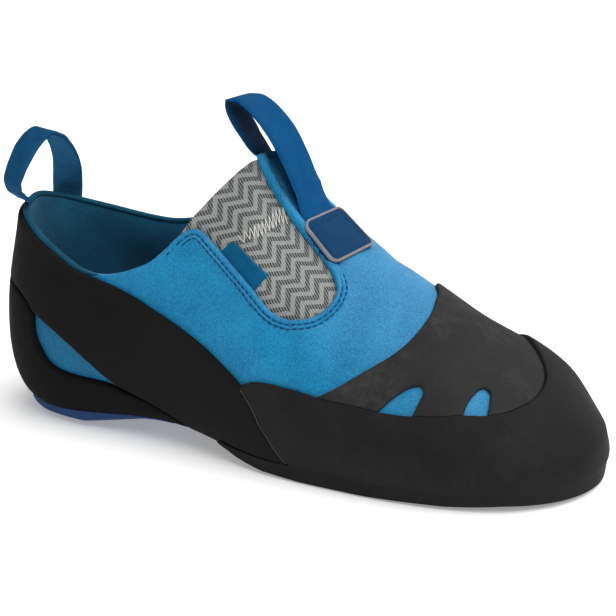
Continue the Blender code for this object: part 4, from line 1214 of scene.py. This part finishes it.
def build_binding():
    """Tape folded over the collar from the throat round the heel to the front of the sling."""
    start, stop = BINDING_ENDS[0], ROUND + BINDING_ENDS[1]
    stations = np.concatenate([spread(start, THROAT, 0.05)[:-1], spread(ROUND - THROAT, stop, 0.05)])
    one = np.ones(len(stations))
    rim = surface(stations, one)
    up = unit(rim - surface(stations, 0.96 * one))
    out = normals(stations, one)
    from_ends = np.stack([stations - start + 0.01, stop + 0.02 - stations], 1) / BINDING_TAPER
    size = np.clip(from_ends.min(axis=1), 0.05, 1)[:, None, None]
    wide, high = BINDING_PROFILE.T[:, None, :, None]
    sections = rim[:, None] + size * (out[:, None] * wide + up[:, None] * high)
    sections = sections + crowned(stations, one, THROAT_CROWN)[:, None]
    points, faces = tube(sections)
    around = np.tile(run_length(BINDING_PROFILE), len(stations))
    cloth = np.stack([around, np.repeat(run_length(rim), len(BINDING_PROFILE))], 1)
    piece("collar_binding", points, faces, [BINDING], cloth=cloth, sharp=60, slot="upper_microfibre")


def badge_frame():
    """Middle of the badge on the strap, and the directions across, up the instep and off its face."""
    row = INSTEP_LOOP[1]
    ahead = unit(np.array(INSTEP_LOOP[2][:3], float) - np.array(INSTEP_LOOP[0][:3], float))
    turn = math.radians(row.turn)
    across = np.array((math.cos(turn), math.sin(turn), 0))
    across = unit(across - across.dot(ahead) * ahead)
    middle = np.array(row[:3], float) + BADGE_SHIFT[0] * across + BADGE_SHIFT[1] * ahead
    return middle, across, ahead, np.cross(across, ahead)


def instep_tree():
    """The instep without the gore's opening, to set things on."""
    stations = np.linspace(5, ROUND - 5, 161)
    shares = np.linspace(0.55, 1, 46)
    s, v = np.meshgrid(stations, shares, indexing="ij")
    index = np.arange(s.size).reshape(s.shape)
    quads = np.stack([index[:-1, :-1], index[1:, :-1], index[1:, 1:], index[:-1, 1:]], -1).reshape(-1, 4)
    return BVHTree.FromPolygons([tuple(p) for p in surface(s.ravel(), v.ravel())], quads.tolist())


def set_on(tree, points, face, height, reach=30.0):
    """Points moved along a face direction until they lie a height over a surface."""
    heights = np.broadcast_to(height, len(points))
    placed = []
    for point, over in zip(points, heights):
        hit = tree.ray_cast(Vector(point + reach * face), Vector(-face))
        drop = reach - hit[3] if hit[3] is not None else 0.0
        placed.append(point + (drop + over) * face)
    return np.array(placed)


def round_corners(half_wide, half_long, radius, count=80):
    """Points round a rectangle with rounded corners."""
    corner = np.linspace(0, math.pi / 2, count // 4)
    points = []
    for k, (x, y) in enumerate(((1, 1), (-1, 1), (-1, -1), (1, -1))):
        angle = corner + k * math.pi / 2
        middle = np.array((x * (half_wide - radius), y * (half_long - radius)))
        points.append(middle + radius * np.stack([np.cos(angle), np.sin(angle)], 1))
    return np.concatenate(points)


# The badge from its foot inwards: distance from its edge, height over the instep, and 1 for the rim
BADGE_STEPS = [(0, -0.3, 0), (0, 1.6, 0), (0.06, 2.1, 1), (0.3, 2.5, 1), (0.6, 2.6, 1), (0.9, 2.5, 1),
               (1.05, 2.25, 1), (1.15, 2.0, 0), (2.0, 2.03, 0), (2.6, 2.03, 0), (2.8, 2.18, 0),
               (3.1, 2.18, 0), (3.3, 2.05, 0), (5, 2.15, 0), (7, 2.25, 0), (9.6, 2.3, 0)]


def build_badge(tree):
    """A rounded patch with a raised rim that follows the instep."""
    long, broad, radius = BADGE
    middle, across, ahead, face = badge_frame()
    rings = []
    for depth, height, _ in BADGE_STEPS:
        x, y = round_corners(broad / 2 - depth, long / 2 - depth, max(radius - depth, 0.4)).T
        flat = middle + np.outer(x, across) + np.outer(y, ahead)
        rings.append(set_on(tree, flat, face, height))
    count = len(rings[0])
    points, faces = tube(np.array(rings))
    looks = [BADGE_STEPS[1 + k // count][2] for k in range(count * (len(rings) - 1))] + [0, 0]
    both = [BADGE_FACE, BADGE_RIM]
    piece("badge", points, faces, both, looks, sharp=50, node="badge", slot="badge_rubber")


STRAP_SEAT = 0.15  # middle of the strap over the instep
STRAP_LIFTS = (20.5, 29.0)  # the strap lies on the instep up to here, and hangs free from here on


def strap_bend(tree):
    """The root of the strap lies on the instep; past the badge it lifts off and straightens."""
    face = badge_frame()[3]

    def bend(sections, length):
        moved = sections.copy()
        for k, at in enumerate(length):
            weight = np.interp(at, STRAP_LIFTS, (1, 0))
            if weight > 0:
                rise = (sections[k] - sections[k].mean(axis=0)) @ face
                flat = sections[k] - rise[:, None] * face
                seated = set_on(tree, flat, face, STRAP_SEAT + rise)
                moved[k] = sections[k] + weight * (seated - sections[k])
        return moved
    return bend


LABEL_CORNERS = [(5.26, 0.792), (5.54, 0.789), (6.44, 0.632), (5.88, 0.578)]  # station, share
# The label from its foot inwards: size and height
LABEL_STEPS = [(1.0, -0.2), (1.0, 0.35), (0.985, 0.55), (0.95, 0.6), (0.7, 0.6), (0.4, 0.6), (0.1, 0.6)]
LABEL_EDGE = (2, 0.93)  # the step that carries the painted highlight, and how far across it starts
LABEL_SQUARE = 0.18  # power that squares a circle up to round corners


def build_label(tree):
    """A small woven label, plain, tucked under the edge of the upper, with a painted highlight along one
    side.
    """
    a, b, c, d = (lifted([s], [v], -1.5)[0] for s, v in LABEL_CORNERS)
    face = unit(np.cross(b - a, d - a))
    face = face if face @ normals([5.8], [0.7])[0] > 0 else -face
    count = 64
    angle = np.linspace(0, 2 * math.pi, count, endpoint=False)
    circle = np.stack([np.cos(angle), np.sin(angle)], 1)
    square = np.sign(circle) * np.abs(circle) ** LABEL_SQUARE
    rings = []
    for size, height in LABEL_STEPS:
        u, v = (square * size * 0.5 + 0.5).T[:, :, None]
        flat = (a * (1 - u) + b * u) * (1 - v) + (d * (1 - u) + c * u) * v
        rings.append(set_on(tree, flat, face, height))
    points, faces = tube(np.array(rings))
    cloth = np.stack([points @ GORE_ACROSS, points @ GORE_ALONG], 1)
    step, start = LABEL_EDGE
    beyond = np.tile(square[:, 0] > start, len(LABEL_STEPS) - 1)
    looks = [1 if far and k // count == step else 0 for k, far in enumerate(beyond)] + [0, 0]
    piece("gore_label", points, faces, [LABEL, LABEL_HIGHLIGHT_EDGE], looks, cloth=cloth)


# Thread

def joined(parts):
    """Several sets of points and faces as one."""
    points = []
    faces = []
    start = 0
    for p, f in parts:
        faces += [[i + start for i in face] for face in f]
        points.append(p)
        start += len(p)
    return np.concatenate(points), faces


def along_line(line, at):
    """Points at given distances along a line."""
    length = run_length(line[:, :3])
    return np.stack([np.interp(at, length, column) for column in line.T], 1), length[-1]


THREAD_SIDES = np.linspace(0, 2 * math.pi, 8, endpoint=False)
# A stitch from end to end: how far along, and size
STITCH_STEPS = [(0.0, 0.35), (0.12, 0.85), (0.35, 1.0), (0.65, 1.0), (0.88, 0.85), (1.0, 0.35)]


def stitches(row):
    """Stitches laid end to end along a row of places, each dipping at its ends."""
    line, up = lifted(*row.T, SEW_LIFT), normals(*row.T)
    long, gap = SEW_SPAN
    radius, sink = SEW_THREAD
    both = np.concatenate([line, up], 1)
    _, total = along_line(both, [0])
    starts = np.arange(0.3, total - long, long + gap)
    rings = []
    for f, size in STITCH_STEPS:
        here, _ = along_line(both, starts + f * long)
        ahead, _ = along_line(both, starts + f * long + 0.1)
        middle, lift = here[:, :3], here[:, 3:]
        side = unit(np.cross(lift, ahead[:, :3] - middle))
        rise = -sink * (2 * f - 1) ** 2 + 0.8 * radius * size * np.sin(THREAD_SIDES)
        rings.append(middle[:, None] + lift[:, None] * rise[None, :, None]
                     + side[:, None] * (radius * size * np.cos(THREAD_SIDES))[None, :, None])
    return joined([tube(one) for one in np.array(rings).transpose(1, 0, 2, 3)])


def build_gore_stitches():
    """Two rows round the gore, and one along the hem of the collar."""
    parts = []
    for depth in SEW_ROWS:
        row = inset(HOLE, depth, closed=False)[ROLL_STOP + 2:]
        parts.append(stitches(row[row[:, 1] < 0.965]))
    parts.append(stitches(inset(edge([(4.7, 1), (4.38, 1)], 0.5), 2.4, closed=False)))
    piece("gore_stitches", *joined(parts), [BLUE_THREAD], sharp=70)


def cord_along(line, up, radius):
    """A round thread that follows a line."""
    ahead = np.gradient(line, axis=0)
    side = unit(np.cross(up, ahead))
    rise = unit(np.cross(ahead, side))
    around = side[:, None] * np.cos(THREAD_SIDES)[:, None] + rise[:, None] * np.sin(THREAD_SIDES)[:, None]
    return tube(line[:, None] + radius * around)


HIGHLIGHT_SHARES = (0.06, 0.285)  # where the line starts and stops
HIGHLIGHT_HEIGHT = 0.72  # its height as a part of the rubber's thickness
HIGHLIGHT_RADIUS = 0.28


def build_seam_highlight():
    """A thin pale cord along the rand's rear edge beside the sling: a painted highlight."""
    row = edge(SEAM, 0.6)
    low, high = HIGHLIGHT_SHARES
    row = row[(row[:, 1] > low) & (row[:, 1] < high)]
    points, faces = cord_along(lifted(*row.T, GAP + HIGHLIGHT_HEIGHT * RUBBER), normals(*row.T), HIGHLIGHT_RADIUS)
    piece("rand_seam_highlight", points, faces, [SEAM_HIGHLIGHT_RUBBER], sharp=80)


ZIGZAG = [(5.68, 0.771), (6.01, 0.766), (6.53, 0.782), (7.06, 0.820)]  # station, share
ZIGZAG_STROKES = 12
ZIGZAG_HALF = np.array((0.062, -0.021))  # half a stroke, as station and share
ZIGZAG_LIFT = (0.95, 0.15)  # height over the gore, and how far a stroke bows up
ZIGZAG_STEPS = 6  # of a stroke
ZIGZAG_RADIUS = 0.21


def build_zigzag():
    """Pale zigzag seam across the gore."""
    middle = smooth(ZIGZAG, 0.1, PLAIN)
    middle = middle[np.linspace(0, len(middle) - 1, ZIGZAG_STROKES).astype(int)]
    places = np.stack([middle - ZIGZAG_HALF, middle + ZIGZAG_HALF], 1).reshape(-1, 2)
    strokes = [np.linspace(a, b, ZIGZAG_STEPS, endpoint=False) for a, b in zip(places, places[1:])]
    rows = np.concatenate(strokes + [places[-1:]])
    bow = np.sin(np.arange(len(rows)) * math.pi / ZIGZAG_STEPS) ** 2
    lift = -WALL - GAP + ZIGZAG_LIFT[0] + ZIGZAG_LIFT[1] * bow
    points, faces = cord_along(lifted(*rows.T, lift), normals(*rows.T), ZIGZAG_RADIUS)
    piece("gore_zigzag", points, faces, [PALE_THREAD], sharp=80)


# Stage

WHITE = (1, 1, 1, 1)
SKY = 0.28  # strength of the even light, and of the floor's own
FLOOR_SIDE = 40.0  # metres from the middle of the floor to its edge
FLOOR_DROP = 0.0002  # metres from the sole to the floor
# Soft lights: direction they come from, strength and spread in degrees
Sun = namedtuple("Sun", "name toward power spread")
SUNS = [Sun("overhead", (0.55, -0.05, 1.0), 2.9, 75), Sun("behind", (0.10, 0.85, 0.60), 0.8, 60)]


def build_lights():
    world = bpy.data.worlds.new("studio")
    bpy.context.scene.world = world
    world.use_nodes = True
    world.node_tree.nodes["Background"].inputs["Color"].default_value = WHITE
    world.node_tree.nodes["Background"].inputs["Strength"].default_value = SKY
    for sun in SUNS:
        data = bpy.data.lights.new(sun.name, "SUN")
        data.energy = sun.power
        data.angle = math.radians(sun.spread)
        made = bpy.data.objects.new(sun.name, data)
        made.rotation_euler = Vector(sun.toward).to_track_quat("Z", "Y").to_euler()
        bpy.context.scene.collection.objects.link(made)


def build_floor():
    corners = [(x * FLOOR_SIDE, y * FLOOR_SIDE, 0) for x, y in ((-1, -1), (1, -1), (1, 1), (-1, 1))]
    mesh = bpy.data.meshes.new("floor")
    mesh.from_pydata(corners, [], [(0, 1, 2, 3)])
    floor = bpy.data.objects.new("floor", mesh)
    floor.location.z = -FLOOR_DROP
    bpy.context.scene.collection.objects.link(floor)
    look = Look("floor_paint", Roughness=0.9, Specular_IOR_Level=0.1, Emission_Color=WHITE,
                Emission_Strength=SKY)
    look.colour(look.mix(look.noise(400, 2), (0.96, 0.96, 0.96), (0.98, 0.98, 0.98)))
    mesh.materials.append(look.material)


SENSOR = 36  # millimetres
PHOTO_SIDE = 616  # pixels
FOCAL = 5600.0  # pixels
AZIMUTH, ELEVATION, ROLLED = (math.radians(a) for a in (30, 20, -2.2))
AIM = (132.0, 0.0, 50.0)  # the point of the last that shows at AIM_AT
AIM_AT = (305.0, 315.0)  # pixels
FAR = 2200.0  # millimetres from the camera to that point


def build_camera():
    """The photo's view."""
    back = Vector((math.sin(AZIMUTH) * math.cos(ELEVATION), -math.cos(AZIMUTH) * math.cos(ELEVATION),
                   math.sin(ELEVATION)))
    level = Vector((math.cos(AZIMUTH), math.sin(AZIMUTH), 0))
    upright = back.cross(level)
    right = math.cos(ROLLED) * level + math.sin(ROLLED) * upright
    up = math.cos(ROLLED) * upright - math.sin(ROLLED) * level
    scale = FAR / FOCAL
    off = right * (PHOTO_SIDE / 2 - AIM_AT[0]) * scale + up * (AIM_AT[1] - PHOTO_SIDE / 2) * scale
    place = (Vector(AIM) - Vector((ORIGIN_X, ORIGIN_Y, 0)) + off + back * FAR) * MM
    data = bpy.data.cameras.new("camera")
    data.sensor_width = SENSOR
    data.lens = SENSOR * FOCAL / PHOTO_SIDE
    data.clip_end = 50
    camera = bpy.data.objects.new("camera", data)
    camera.matrix_world = Matrix.Translation(place) @ Matrix((right, up, back)).transposed().to_4x4()
    bpy.context.scene.collection.objects.link(camera)
    bpy.context.scene.camera = camera


build_camera()
build_upper()
GORE_TREE = build_gore()
build_rand()
build_patch()
build_sling()
build_cup()
build_soles()
build_insole()
INSTEP_TREE = instep_tree()
build_band("instep_loop", INSTEP_LOOP, [STRAP, STRAP_INSIDE_SHADED], "strap_webbing", strap_bend(INSTEP_TREE))
build_band("heel_loop", HEEL_LOOP, [LOOP, LOOP_INSIDE_LIT], "loop_webbing")
build_binding()
build_badge(INSTEP_TREE)
build_label(GORE_TREE)
build_gore_stitches()
build_zigzag()
build_seam_highlight()
build_floor()
build_lights()
bpy.context.scene.view_settings.view_transform = "Standard"
